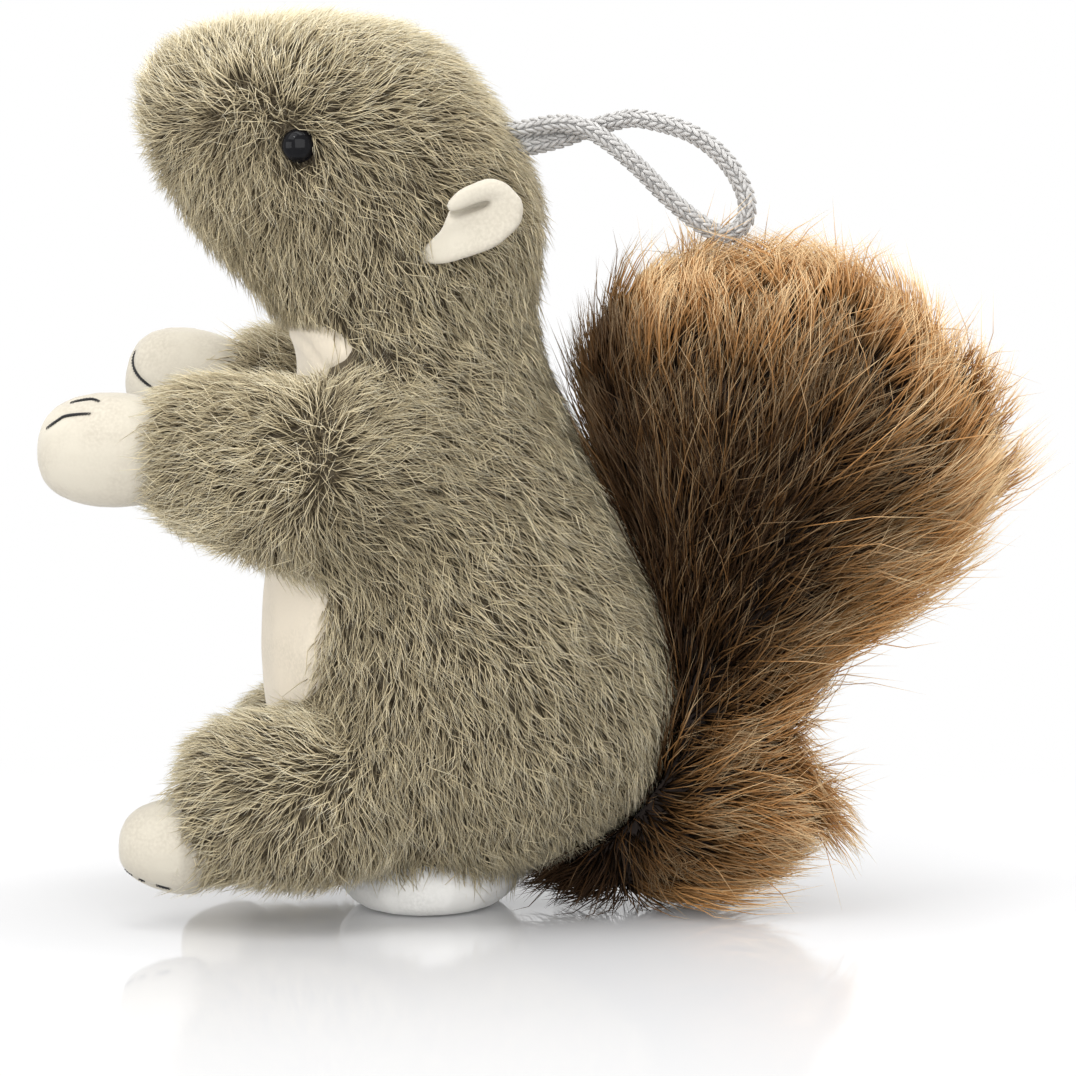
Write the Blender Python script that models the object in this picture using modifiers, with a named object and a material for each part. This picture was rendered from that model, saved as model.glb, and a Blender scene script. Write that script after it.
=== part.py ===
"""Plush squirrel dog toy: a sewn fur body with velour panels, stuffed limbs, a fur tail and a cord loop.

Metres, +Z up. The toy faces -Y, its left side is +X, and it sits on its seat pad at Z = 0.
"""

import math

import bmesh
import bpy
from mathutils import Matrix, Vector

for leftover in list(bpy.data.objects):
    bpy.data.objects.remove(leftover, do_unlink=True)

# Skins and seams, and how far a cutter runs on past what it cuts
SEAM_GAP = 0.0003
REACH = 0.2
CLEAR = 0.02
PLUSH_WALL = 0.0050
VELOUR_INSET = 0.0018
SMOOTHING = 1
BODY_SIDES = 12
FILLING_SIDES = 10

# Level outlines of the body: height, front edge, back edge, half width, narrowing towards the front
BASE_RING = (0.0060, -0.0397, -0.0037, 0.0170, 0.00)
RUMP_RING = (0.0130, -0.0502, 0.0158, 0.0300, 0.00)
THIGH_RING = (0.0270, -0.0567, 0.0293, 0.0375, 0.05)
HIP_RING = (0.0430, -0.0607, 0.0333, 0.0400, 0.05)
WAIST_RING = (0.0620, -0.0607, 0.0293, 0.0380, 0.05)
CHEST_RING = (0.0840, -0.0567, 0.0168, 0.0340, 0.00)
SHOULDER_RING = (0.1020, -0.0517, 0.0058, 0.0300, 0.00)
NECK_RING = (0.1180, -0.0512, -0.0002, 0.0280, 0.05)
JAW_RING = (0.1310, -0.0687, 0.0038, 0.0320, 0.35)
CHEEK_RING = (0.1460, -0.0802, 0.0038, 0.0335, 0.45)
BROW_RING = (0.1600, -0.0847, -0.0062, 0.0325, 0.45)
FOREHEAD_RING = (0.1710, -0.0817, -0.0137, 0.0285, 0.40)
CROWN_RING = (0.1790, -0.0667, -0.0277, 0.0160, 0.30)
NECK_SEAM_Z = 0.1180

# Velour panel down the front, and the pad that the toy sits on
BELLY_TOP = 0.1165
BELLY_BOTTOM = 0.0160
BELLY_HALF_WIDTH = 0.0275
BELLY_BACK_EDGE = -0.0267
BELLY_SQUARENESS = 3.0
BELLY_POINTS = 20
SEAT_Y = -0.0222
SEAT_HALF_LENGTH = 0.0190
SEAT_HALF_WIDTH = 0.0240
SEAT_SIDES = 8

# Levels of the pad: height, and the share of its half sizes there
SEAT_LEVELS = (
    (0.0000, 0.64),
    (0.0000, 0.88),
    (0.0040, 1.00),
    (0.0100, 0.96),
    (0.0170, 0.80),
)

# Stuffed front limbs: the right one is held a little higher and nearer than the left
LIMB_SIDES = 8
ARM_X = 0.0300
ARM_SHOULDER_Y = -0.0197
ARM_SHOULDER_Z = 0.0890
ARM_RAISE_RIGHT = math.radians(11.0)
ARM_SHORTER_RIGHT = 0.0030
ELBOW_HALF_HEIGHT = 0.0225
ELBOW_HALF_WIDTH = 0.0180
PAW_TIP_Y = -0.0942
PAW_HALF_HEIGHT = 0.0116
PAW_HALF_WIDTH = 0.0098

# Stuffed hind limbs
LEG_X = 0.0300
LEG_HALF_HEIGHT = 0.0215
LEG_HALF_WIDTH = 0.0175
FOOT_HALF_HEIGHT = 0.0104
FOOT_HALF_WIDTH = 0.0104

# Stations along the limbs: share of the distance from the middle, Y, Z, shares of half width and half height
ARM_STATIONS = (
    (0.96, -0.0737, 0.0930, 0.74, 0.60),
    (0.97, -0.0687, 0.0930, 0.88, 0.76),
    (1.00, -0.0592, 0.0910, 0.97, 0.92),
    (1.02, -0.0447, 0.0882, 1.00, 1.00),
    (1.00, -0.0322, 0.0880, 0.94, 0.94),
    (0.92, -0.0197, 0.0890, 0.70, 0.70),
    (0.82, -0.0117, 0.0905, 0.35, 0.36),
)
PAW_STATIONS = (
    (0.95, PAW_TIP_Y, 0.0925, 0.35, 0.38),
    (0.95, -0.0912, 0.0930, 0.82, 0.82),
    (0.95, -0.0832, 0.0930, 1.04, 1.04),
    (0.95, -0.0747, 0.0930, 1.00, 0.98),
    (0.95, -0.0667, 0.0930, 0.80, 0.76),
)
LEG_STATIONS = (
    (0.97, -0.0692, 0.0238, 0.48, 0.48),
    (0.98, -0.0642, 0.0253, 0.76, 0.76),
    (1.00, -0.0541, 0.0258, 0.98, 0.98),
    (1.00, -0.0414, 0.0255, 0.98, 0.98),
    (0.96, -0.0288, 0.0245, 0.78, 0.78),
    (0.86, -0.0187, 0.0235, 0.45, 0.45),
)
FOOT_STATIONS = (
    (1.00, -0.0792, 0.0154, 0.40, 0.42),
    (1.00, -0.0757, 0.0158, 0.82, 0.84),
    (1.00, -0.0682, 0.0158, 1.03, 1.03),
    (1.00, -0.0592, 0.0152, 1.00, 0.92),
    (1.00, -0.0502, 0.0152, 0.75, 0.60),
)

# Tail of long pile: height, front edge, back edge, half width, and the swell of its locks
TAIL_SIDES = 14
TAIL_LOCK_SWELL = 0.15
TAIL_LOCK_RINGS = 3
TAIL_RINGS = (
    (0.0000, 0.0133, 0.0323, 0.0060),
    (0.0000, 0.0063, 0.0393, 0.0110),
    (0.0050, -0.0012, 0.0493, 0.0170),
    (0.0130, 0.0063, 0.0578, 0.0200),
    (0.0210, 0.0163, 0.0613, 0.0210),
    (0.0390, 0.0253, 0.0508, 0.0180),
    (0.0480, 0.0253, 0.0603, 0.0200),
    (0.0580, 0.0233, 0.0733, 0.0240),
    (0.0700, 0.0193, 0.0813, 0.0280),
    (0.0840, 0.0138, 0.0943, 0.0310),
    (0.0980, 0.0068, 0.0928, 0.0325),
    (0.1110, 0.0043, 0.0858, 0.0310),
    (0.1220, 0.0093, 0.0748, 0.0250),
    (0.1300, 0.0223, 0.0583, 0.0150),
)

# Eyes with a shank and a washer behind the skin
EYE_Y = -0.0452
EYE_Z = 0.1517
EYE_RADIUS = 0.0035
EYE_HEIGHT = 0.0028
EYE_SINK = 0.0026
EYE_RIM = 0.0005
SHANK_RADIUS = 0.0012
SHANK_PAST_WASHER = 0.0010
WASHER_RADIUS = 0.0045
WASHER_THICKNESS = 0.0012
SKIN_CURVE = 0.0150
TURNED_STEPS = 12

# Folded ears
EAR_ROOT_Y = -0.0203
EAR_ROOT_Z = 0.1310
EAR_TIP_Y = 0.0003
EAR_TIP_Z = 0.1407
EAR_HALF_HEIGHT = 0.0078
EAR_HALF_THICKNESS = 0.0034
EAR_FLARE = 0.0040
EAR_SINK = 0.0003
EAR_SIDES = 6
EAR_SLIT = 0.0009
EAR_SLIT_LENGTH = 0.0110
EAR_SLIT_DEPTH = 0.0080
EAR_SLIT_TILT = math.radians(25.0)

# Stations of the ear from its root: place along it, share of its half height, and share of the flare
EAR_STATIONS = (
    (0.00, 0.35, 0.00),
    (0.22, 0.72, 0.35),
    (0.55, 1.00, 0.70),
    (0.82, 0.90, 1.00),
    (1.00, 0.48, 1.10),
)

# Squeaker in its pocket behind the velour panel
SQUEAKER_Z = 0.0560
SQUEAKER_RADIUS = 0.0170
SQUEAKER_HALF_DEPTH = 0.0075
SQUEAKER_WALL = 0.0010
SQUEAKER_STEPS = 16
SQUEAKER_NECK = 0.0035
SQUEAKER_NECK_LENGTH = 0.0035
SQUEAKER_POCKET_SHARE = 0.7
REED_RADIUS = 0.0022
REED_BORE = 0.0011
REED_LENGTH = 0.0070
REED_FLANGE_RADIUS = 0.0033
REED_FLANGE = 0.0010

# Half section of the squeaker from its front: shares of its radius and of its half depth
SQUEAKER_SECTION = (
    (0.00, 1.00),
    (0.60, 0.86),
    (0.93, 0.45),
    (1.00, 0.00),
    (0.93, -0.60),
    (0.60, -1.00),
)

# Cord loop sewn into the seam at the back of the head
CORD_DIAMETER = 0.0034
CORD_STEP = 1.3
CORD_HOLE_STEPS = 12
SPLINE_PARTS = 20
CORD_ROUTE = (
    (0.0000, -0.0059, 0.1506),
    (-0.0002, -0.0017, 0.1515),
    (-0.0012, 0.0043, 0.1533),
    (-0.0021, 0.0102, 0.1556),
    (-0.0021, 0.0152, 0.1570),
    (-0.0016, 0.0202, 0.1574),
    (-0.0008, 0.0301, 0.1546),
    (-0.0003, 0.0370, 0.1493),
    (0.0000, 0.0410, 0.1424),
    (0.0003, 0.0408, 0.1371),
    (0.0006, 0.0370, 0.1347),
    (0.0010, 0.0321, 0.1369),
    (0.0014, 0.0261, 0.1418),
    (0.0018, 0.0202, 0.1477),
    (0.0021, 0.0142, 0.1528),
    (0.0021, 0.0092, 0.1556),
    (0.0013, 0.0043, 0.1570),
    (0.0002, -0.0037, 0.1558),
    (0.0000, -0.0079, 0.1553),
)

SIDES = (("left", 1.0), ("right", -1.0))


def new_collection(name):
    collection = bpy.data.collections.new(name)
    bpy.context.scene.collection.children.link(collection)
    return collection


PARTS = new_collection("plush_squirrel_toy")
CUTTERS = new_collection("cutters")


def new_material(name, colour, roughness, metallic=0.0):
    material = bpy.data.materials.new(name)
    material.use_nodes = True
    shader = material.node_tree.nodes["Principled BSDF"]
    shader.inputs["Base Color"].default_value = (*colour, 1.0)
    shader.inputs["Roughness"].default_value = roughness
    shader.inputs["Metallic"].default_value = metallic
    return material


def add_mesh_object(name, mesh, material=None):
    """A part when it has a material, otherwise a cutter that isn't rendered."""
    item = bpy.data.objects.new(name, mesh)
    if material is None:
        CUTTERS.objects.link(item)
        item.hide_render = True
        item.display_type = "WIRE"
    else:
        PARTS.objects.link(item)
        mesh.materials.append(material)
    return item


def smooth(item, steps=SMOOTHING):
    modifier = item.modifiers.new("smoothing", "SUBSURF")
    modifier.levels = steps
    modifier.render_levels = steps
    item.data.shade_smooth()


def swell(item, amount):
    """Moves the whole surface out by amount, or in where it is negative."""
    modifier = item.modifiers.new("swell", "DISPLACE")
    modifier.strength = amount
    modifier.mid_level = 0.0


def trim(item, cutter, operation="DIFFERENCE"):
    modifier = item.modifiers.new("trim", "BOOLEAN")
    modifier.operation = operation
    modifier.solver = "EXACT"
    modifier.object = cutter


def level_ring(ring):
    """Centre, two axes with their half sizes and the narrowing of a level outline."""
    height, front, back, half_width = ring[:4]
    centre = Vector((0.0, (front + back) / 2, height))
    pinch = ring[4] if len(ring) > 4 else 0.0
    return centre, Vector((1, 0, 0)), half_width, Vector((0, 1, 0)), (back - front) / 2, pinch


def upright_ring(x, y, z, half_width, half_height):
    """An outline across a limb that runs along Y."""
    return Vector((x, y, z)), Vector((1, 0, 0)), half_width, Vector((0, 0, 1)), half_height, 0.0


def ring_cage(rings, sides, swell_share=0.0):
    """A closed cage through the rings, each an ellipse whose -Y side may be narrower.

    A swell makes every other side of a ring fuller, which draws locks that change places upwards.
    """
    mesh = bmesh.new()
    loops = []
    for number, (centre, across, half_across, along, half_along, pinch) in enumerate(rings):
        frame = Matrix.Identity(4)
        frame.col[0] = (across * half_across).to_4d()
        frame.col[1] = (along * half_along).to_4d()
        frame.col[2] = across.cross(along).to_4d()
        for column in range(3):
            frame.col[column][3] = 0.0
        frame.col[3] = centre.to_4d()
        verts = bmesh.ops.create_circle(
            mesh, cap_ends=False, segments=sides, radius=1.0, matrix=frame
        )["verts"]
        for place, vert in enumerate(verts):
            offset = vert.co - centre
            forward = -offset.dot(along) / half_along
            offset -= across * offset.dot(across) * pinch * (1 + forward) / 2
            wave = swell_share if (place + number // TAIL_LOCK_RINGS) % 2 else -swell_share
            vert.co = centre + offset * (1 + wave)
        loops.append({edge for vert in verts for edge in vert.link_edges})
    for lower, upper in zip(loops, loops[1:]):
        bmesh.ops.bridge_loops(mesh, edges=list(lower | upper))
    bmesh.ops.holes_fill(mesh, edges=list(loops[0] | loops[-1]), sides=sides)
    bmesh.ops.recalc_face_normals(mesh, faces=mesh.faces)
    data = bpy.data.meshes.new("cage")
    mesh.to_mesh(data)
    mesh.free()
    return data


def add_form(name, rings, material=None, sides=BODY_SIDES, grow=0.0, locks=0.0):
    """A soft closed form through the rings, as a part or, with no material, as a cutter."""
    item = add_mesh_object(name, ring_cage(rings, sides, locks), material)
    smooth(item)
    if grow:
        swell(item, grow)
    return item


def add_turned(name, profile, material=None, steps=TURNED_STEPS):
    """A profile of (radius, height) points, top to bottom, turned round its own Z axis."""
    mesh = bmesh.new()
    verts = [mesh.verts.new((radius, 0.0, height)) for radius, height in profile]
    for first, second in zip(verts, verts[1:]):
        mesh.edges.new((first, second))
    data = bpy.data.meshes.new("profile")
    mesh.to_mesh(data)
    mesh.free()
    item = add_mesh_object(name, data, material)
    screw = item.modifiers.new("turn", "SCREW")
    screw.steps = steps
    screw.render_steps = steps
    screw.use_merge_vertices = True
    screw.merge_threshold = 0.00001
    screw.use_smooth_shade = True
    return item


def add_block(name, low, high):
    """A box cutter between two corners."""
    mesh = bmesh.new()
    low, high = Vector(low), Vector(high)
    bmesh.ops.create_cube(mesh, size=1.0)
    bmesh.ops.scale(mesh, vec=high - low, verts=mesh.verts)
    bmesh.ops.translate(mesh, vec=(low + high) / 2, verts=mesh.verts)
    data = bpy.data.meshes.new("block")
    mesh.to_mesh(data)
    mesh.free()
    return add_mesh_object(name, data)


def place(item, where, direction):
    """Stands a turned piece at a point with its Z axis along direction."""
    item.location = where
    item.rotation_euler = Vector(direction).to_track_quat("Z", "Y").to_euler()


PLUSH = new_material("grey_brown_plush", (0.27, 0.23, 0.165), 0.95)
TAIL_PILE = new_material("brown_long_pile", (0.20, 0.10, 0.042), 0.9)
VELOUR = new_material("cream_velour", (0.83, 0.78, 0.65), 0.9)
FILLING = new_material("white_fibre_filling", (0.85, 0.85, 0.85), 1.0)
EYE_PLASTIC = new_material("black_eye_plastic", (0.008, 0.008, 0.008), 0.12)
WASHER_PLASTIC = new_material("white_washer_plastic", (0.75, 0.75, 0.73), 0.4)
SQUEAKER_PLASTIC = new_material("white_squeaker_plastic", (0.80, 0.80, 0.78), 0.4)
CORD = new_material("grey_braided_cord", (0.47, 0.46, 0.45), 0.8)

SKIN_RINGS = [
    level_ring(ring)
    for ring in (
        BASE_RING, RUMP_RING, THIGH_RING, HIP_RING, WAIST_RING, CHEST_RING, SHOULDER_RING,
        NECK_RING, JAW_RING, CHEEK_RING, BROW_RING, FOREHEAD_RING, CROWN_RING,
    )
]
FILLING_RINGS = [
    level_ring(ring)
    for ring in (
        BASE_RING, RUMP_RING, HIP_RING, CHEST_RING, NECK_RING, JAW_RING, BROW_RING, CROWN_RING,
    )
]


def body_form(name, material=None, grow=0.0):
    """The outside of the whole body."""
    return add_form(name, SKIN_RINGS, material, grow=grow)


def filling_form(name, material=None, grow=0.0):
    """The room inside the skin, with fewer outlines than the skin itself."""
    return add_form(name, FILLING_RINGS, material, sides=FILLING_SIDES, grow=grow - PLUSH_WALL)


def surface_point(form, start, direction):
    """Where a line from start meets the form, and the way that its surface faces there."""
    bpy.context.view_layer.update()
    solid = form.evaluated_get(bpy.context.evaluated_depsgraph_get())
    hit, point, normal, _ = solid.ray_cast(Vector(start), Vector(direction))
    if not hit:
        raise ValueError("no surface on this line")
    return point, normal


def side_point(form, y, z, side):
    return surface_point(form, (side * REACH, y, z), (-side, 0, 0))


def belly_outline(grow):
    """Rounded oval of the velour panel, seen from the front."""
    middle = (BELLY_TOP + BELLY_BOTTOM) / 2
    half_height = (BELLY_TOP - BELLY_BOTTOM) / 2 + grow
    half_width = BELLY_HALF_WIDTH + grow
    power = 2 / BELLY_SQUARENESS
    for number in range(BELLY_POINTS):
        angle = 2 * math.pi * (number + 0.5) / BELLY_POINTS
        x = math.copysign(abs(math.cos(angle)) ** power, math.cos(angle)) * half_width
        z = math.copysign(abs(math.sin(angle)) ** power, math.sin(angle)) * half_height
        yield x, middle + z


def belly_prism(name, grow=0.0):
    """The velour panel's outline pushed through the front of the body."""
    mesh = bmesh.new()
    verts = [mesh.verts.new((x, -REACH, z)) for x, z in belly_outline(grow)]
    face = mesh.faces.new(verts)
    pushed = bmesh.ops.extrude_face_region(mesh, geom=[face])["geom"]
    moved = [item for item in pushed if isinstance(item, bmesh.types.BMVert)]
    bmesh.ops.translate(mesh, vec=(0, REACH + BELLY_BACK_EDGE + grow, 0), verts=moved)
    bmesh.ops.recalc_face_normals(mesh, faces=mesh.faces)
    data = bpy.data.meshes.new("prism")
    mesh.to_mesh(data)
    mesh.free()
    return add_mesh_object(name, data)


def seat_rings():
    """Flat underneath, fullest a little above the floor, and narrower where it meets the filling."""
    rings = []
    for height, share in SEAT_LEVELS:
        long = SEAT_HALF_LENGTH * share
        rings.append(level_ring((height, SEAT_Y - long, SEAT_Y + long, SEAT_HALF_WIDTH * share)))
    return rings


body_outside = body_form("body_outside")
body_grown = body_form("body_grown", grow=SEAM_GAP)
body_inside = filling_form("body_inside")
above_neck = add_block(
    "above_neck", (-REACH, -REACH, NECK_SEAM_Z - SEAM_GAP / 2), (REACH, REACH, 2 * REACH)
)
below_neck = add_block(
    "below_neck", (-REACH, -REACH, -REACH), (REACH, REACH, NECK_SEAM_Z + SEAM_GAP / 2)
)
belly_cut = belly_prism("belly_cut", SEAM_GAP)
belly_shape = belly_prism("belly_shape")
seat_cut = add_form("seat_cut", seat_rings(), sides=SEAT_SIDES, grow=SEAM_GAP)


def make_skins():
    """Head and torso skins, the velour panel let into the torso, and the pad under it."""
    head = body_form("head_plush", PLUSH)
    for cutter in (body_inside, below_neck):
        trim(head, cutter)
    torso = body_form("torso_plush", PLUSH)
    for cutter in (body_inside, above_neck, belly_cut, seat_cut):
        trim(torso, cutter)
    belly = body_form("belly_panel", VELOUR, grow=-VELOUR_INSET)
    trim(belly, belly_shape, "INTERSECT")
    trim(belly, body_inside)
    seat = add_form("seat_base", seat_rings(), VELOUR, sides=SEAT_SIDES)
    trim(seat, body_inside)
    return head, torso


def make_eyes(head, filling):
    """A turned eye in each side of the head, its shank through the skin and a washer behind it."""
    arc = [
        (EYE_RADIUS * math.sin(angle), EYE_HEIGHT * math.cos(angle))
        for angle in (math.radians(step) for step in (0, 22, 45, 67, 90))
    ]
    hollow = WASHER_RADIUS**2 / (2 * SKIN_CURVE)
    for side_name, side in SIDES:
        point, facing = side_point(body_outside, EYE_Y, EYE_Z, side)
        seat = point - facing * EYE_SINK
        inside, _ = surface_point(body_inside, point, -facing)
        washer_back = (inside - seat).dot(facing) - hollow - SEAM_GAP
        shank_end = washer_back - WASHER_THICKNESS - SHANK_PAST_WASHER
        profile = arc + [
            (EYE_RADIUS, -EYE_RIM), (SHANK_RADIUS, -EYE_RIM), (SHANK_RADIUS, shank_end), (0.0, shank_end),
        ]
        eye = add_turned(f"eye_{side_name}", profile, EYE_PLASTIC)
        place(eye, seat, facing)
        wide = EYE_RADIUS + SEAM_GAP
        narrow = SHANK_RADIUS + SEAM_GAP
        socket = add_turned(
            f"eye_socket_{side_name}",
            [
                (0.0, CLEAR), (wide + EYE_SINK, CLEAR), (wide, 0.0),
                (wide, -EYE_RIM - SEAM_GAP), (narrow, -EYE_RIM - SEAM_GAP),
                (narrow, shank_end - SEAM_GAP), (0.0, shank_end - SEAM_GAP),
            ],
        )
        place(socket, seat, facing)
        trim(head, socket)
        washer = add_turned(
            f"eye_washer_{side_name}",
            [
                (narrow, washer_back), (WASHER_RADIUS, washer_back),
                (WASHER_RADIUS, washer_back - WASHER_THICKNESS),
                (narrow, washer_back - WASHER_THICKNESS), (narrow, washer_back),
            ],
            WASHER_PLASTIC,
        )
        place(washer, seat, facing)
        room = WASHER_RADIUS + SEAM_GAP
        deep = washer_back - WASHER_THICKNESS - SEAM_GAP
        pocket = add_turned(
            f"washer_pocket_{side_name}",
            [
                (0.0, 0.0), (room, 0.0), (room, deep), (narrow, deep),
                (narrow, shank_end - SEAM_GAP), (0.0, shank_end - SEAM_GAP),
            ],
        )
        place(pocket, seat, facing)
        trim(filling, pocket)


def make_ears():
    """Velour ears, folded lengthwise with a slit along the fold, sewn flat against the head."""
    for side_name, side in SIDES:
        root, _ = side_point(body_outside, EAR_ROOT_Y, EAR_ROOT_Z, side)
        rings = []
        for along, share, flare in EAR_STATIONS:
            y = EAR_ROOT_Y + (EAR_TIP_Y - EAR_ROOT_Y) * along
            z = EAR_ROOT_Z + (EAR_TIP_Z - EAR_ROOT_Z) * along
            x = root.x + side * (EAR_FLARE * flare - EAR_SINK)
            rings.append(
                upright_ring(x, y, z, EAR_HALF_THICKNESS * (1 + share) / 2, EAR_HALF_HEIGHT * share)
            )
        ear = add_form(f"ear_{side_name}", rings, VELOUR, sides=EAR_SIDES)
        slit = add_block(
            f"ear_slit_{side_name}",
            (-EAR_SLIT_DEPTH / 2, -EAR_SLIT_LENGTH / 2, -EAR_SLIT / 2),
            (EAR_SLIT_DEPTH / 2, EAR_SLIT_LENGTH / 2, EAR_SLIT / 2),
        )
        slit.location = (
            root.x + side * (EAR_FLARE + EAR_SLIT_DEPTH / 2),
            (EAR_ROOT_Y + EAR_TIP_Y) / 2 - EAR_HALF_HEIGHT / 3,
            (EAR_ROOT_Z + EAR_TIP_Z) / 2 + EAR_HALF_HEIGHT / 3,
        )
        slit.rotation_euler = (EAR_SLIT_TILT, 0.0, 0.0)
        trim(ear, slit)
        trim(ear, body_grown)


def limb_rings(stations, side, from_middle, half_width, half_height):
    """Outlines across a limb on one side, from its tip back into the body."""
    return [
        upright_ring(side * from_middle * out, y, z, half_width * wide, half_height * high)
        for out, y, z, wide, high in stations
    ]


def raise_rings(rings, angle, shorter):
    """Turns a limb's stations up about the shoulder, and draws them in a little."""
    pivot = Vector((0.0, ARM_SHOULDER_Y, ARM_SHOULDER_Z))
    turn = Matrix.Rotation(-angle, 3, "X")
    raised = []
    for centre, across, half_across, along, half_along, pinch in rings:
        offset = centre - pivot
        offset.y += shorter * offset.y / (PAW_TIP_Y - ARM_SHOULDER_Y)
        raised.append((pivot + turn @ offset, across, half_across, turn @ along, half_along, pinch))
    return raised


def make_arms():
    """Fur sleeves sewn to the shoulders, each with a velour paw set into its cuff."""
    for side_name, side in SIDES:
        sleeve = limb_rings(ARM_STATIONS, side, ARM_X, ELBOW_HALF_WIDTH, ELBOW_HALF_HEIGHT)
        mitten = limb_rings(PAW_STATIONS, side, ARM_X, PAW_HALF_WIDTH, PAW_HALF_HEIGHT)
        if side_name == "right":
            sleeve = raise_rings(sleeve, ARM_RAISE_RIGHT, ARM_SHORTER_RIGHT)
            mitten = raise_rings(mitten, ARM_RAISE_RIGHT, ARM_SHORTER_RIGHT)
        arm = add_form(f"arm_{side_name}", sleeve, PLUSH, sides=LIMB_SIDES)
        add_form(f"paw_{side_name}", mitten, VELOUR, sides=LIMB_SIDES)
        cuff_space = add_form(f"cuff_space_{side_name}", mitten, sides=LIMB_SIDES, grow=SEAM_GAP)
        trim(arm, cuff_space)
        trim(arm, body_grown)


def make_legs():
    """Fur haunches sewn to the hips, each with a velour foot set into its front."""
    for side_name, side in SIDES:
        haunch = limb_rings(LEG_STATIONS, side, LEG_X, LEG_HALF_WIDTH, LEG_HALF_HEIGHT)
        sole = limb_rings(FOOT_STATIONS, side, LEG_X, FOOT_HALF_WIDTH, FOOT_HALF_HEIGHT)
        leg = add_form(f"leg_{side_name}", haunch, PLUSH, sides=LIMB_SIDES)
        add_form(f"foot_{side_name}", sole, VELOUR, sides=LIMB_SIDES)
        foot_space = add_form(f"foot_space_{side_name}", sole, sides=LIMB_SIDES, grow=SEAM_GAP)
        trim(leg, foot_space)
        trim(leg, body_grown)


def make_tail():
    """A plume of long pile in thick locks, seated along the back."""
    rings = [level_ring(ring) for ring in TAIL_RINGS]
    tail = add_form("tail", rings, TAIL_PILE, sides=TAIL_SIDES, locks=TAIL_LOCK_SWELL)
    trim(tail, body_grown)


def squeaker_section(radius, half_depth):
    return [(radius * across, half_depth * deep) for across, deep in SQUEAKER_SECTION]


def make_squeaker(filling):
    """A hollow puffer with a reed in its neck, in a pocket that opens behind the velour panel."""
    front = [
        surface_point(body_inside, (radius, -REACH, SQUEAKER_Z), (0, 1, 0))[0].y + depth
        for radius, depth in squeaker_section(SQUEAKER_RADIUS, SQUEAKER_HALF_DEPTH)
        if depth >= 0
    ]
    where = Vector((0.0, max(front) + 2 * SEAM_GAP, SQUEAKER_Z))
    forward = (0, -1, 0)
    inner_depth = SQUEAKER_HALF_DEPTH - SQUEAKER_WALL
    room = squeaker_section(SQUEAKER_RADIUS - SQUEAKER_WALL, inner_depth)
    hole = REED_RADIUS + SEAM_GAP
    neck_end = -SQUEAKER_HALF_DEPTH - SQUEAKER_NECK_LENGTH
    neck = [
        (SQUEAKER_NECK, -SQUEAKER_HALF_DEPTH), (SQUEAKER_NECK, neck_end),
        (hole, neck_end), (hole, -inner_depth),
    ]
    bladder = add_turned(
        "squeaker_bladder",
        squeaker_section(SQUEAKER_RADIUS, SQUEAKER_HALF_DEPTH) + neck + room[::-1],
        SQUEAKER_PLASTIC,
        steps=SQUEAKER_STEPS,
    )
    place(bladder, where, forward)
    flange_front = neck_end - SEAM_GAP
    flange_back = flange_front - REED_FLANGE
    reed_front = flange_back + REED_LENGTH
    reed = add_turned(
        "squeaker_reed",
        [
            (REED_BORE, reed_front), (REED_RADIUS, reed_front), (REED_RADIUS, flange_front),
            (REED_FLANGE_RADIUS, flange_front), (REED_FLANGE_RADIUS, flange_back),
            (REED_BORE, flange_back), (REED_BORE, reed_front),
        ],
        WASHER_PLASTIC,
    )
    place(reed, where, forward)
    pocket_radius = SQUEAKER_RADIUS + SEAM_GAP
    neck_radius = SQUEAKER_NECK + SEAM_GAP
    side_back = -SQUEAKER_HALF_DEPTH / 2
    back = -SQUEAKER_HALF_DEPTH - SEAM_GAP
    neck_back = flange_back - SEAM_GAP
    pocket = add_turned(
        "squeaker_pocket",
        [
            (0.0, CLEAR), (pocket_radius, CLEAR), (pocket_radius, side_back),
            (pocket_radius * SQUEAKER_POCKET_SHARE, back), (neck_radius, back),
            (neck_radius, neck_back), (0.0, neck_back),
        ],
        steps=SQUEAKER_STEPS,
    )
    place(pocket, where, forward)
    trim(filling, pocket)


def spline_points(route, step):
    """Points a step apart along a smooth curve through the route's points."""
    points = [Vector(point) for point in route]
    ends = [2 * points[0] - points[1]] + points + [2 * points[-1] - points[-2]]
    fine = []
    for before, start, end, after in zip(ends, ends[1:], ends[2:], ends[3:]):
        bend_in = 2 * before - 5 * start + 4 * end - after
        bend_out = 3 * start - before - 3 * end + after
        for part in range(SPLINE_PARTS):
            t = part / SPLINE_PARTS
            fine.append(start + 0.5 * ((end - before) * t + bend_in * t**2 + bend_out * t**3))
    fine.append(points[-1])
    length = sum((second - first).length for first, second in zip(fine, fine[1:]))
    count = max(2, round(length / step))
    spaced = [fine[0]]
    travelled = 0.0
    for first, second in zip(fine, fine[1:]):
        travelled += (second - first).length
        if travelled >= len(spaced) * length / count and len(spaced) < count:
            spaced.append(second)
    return spaced + [fine[-1]]


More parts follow.
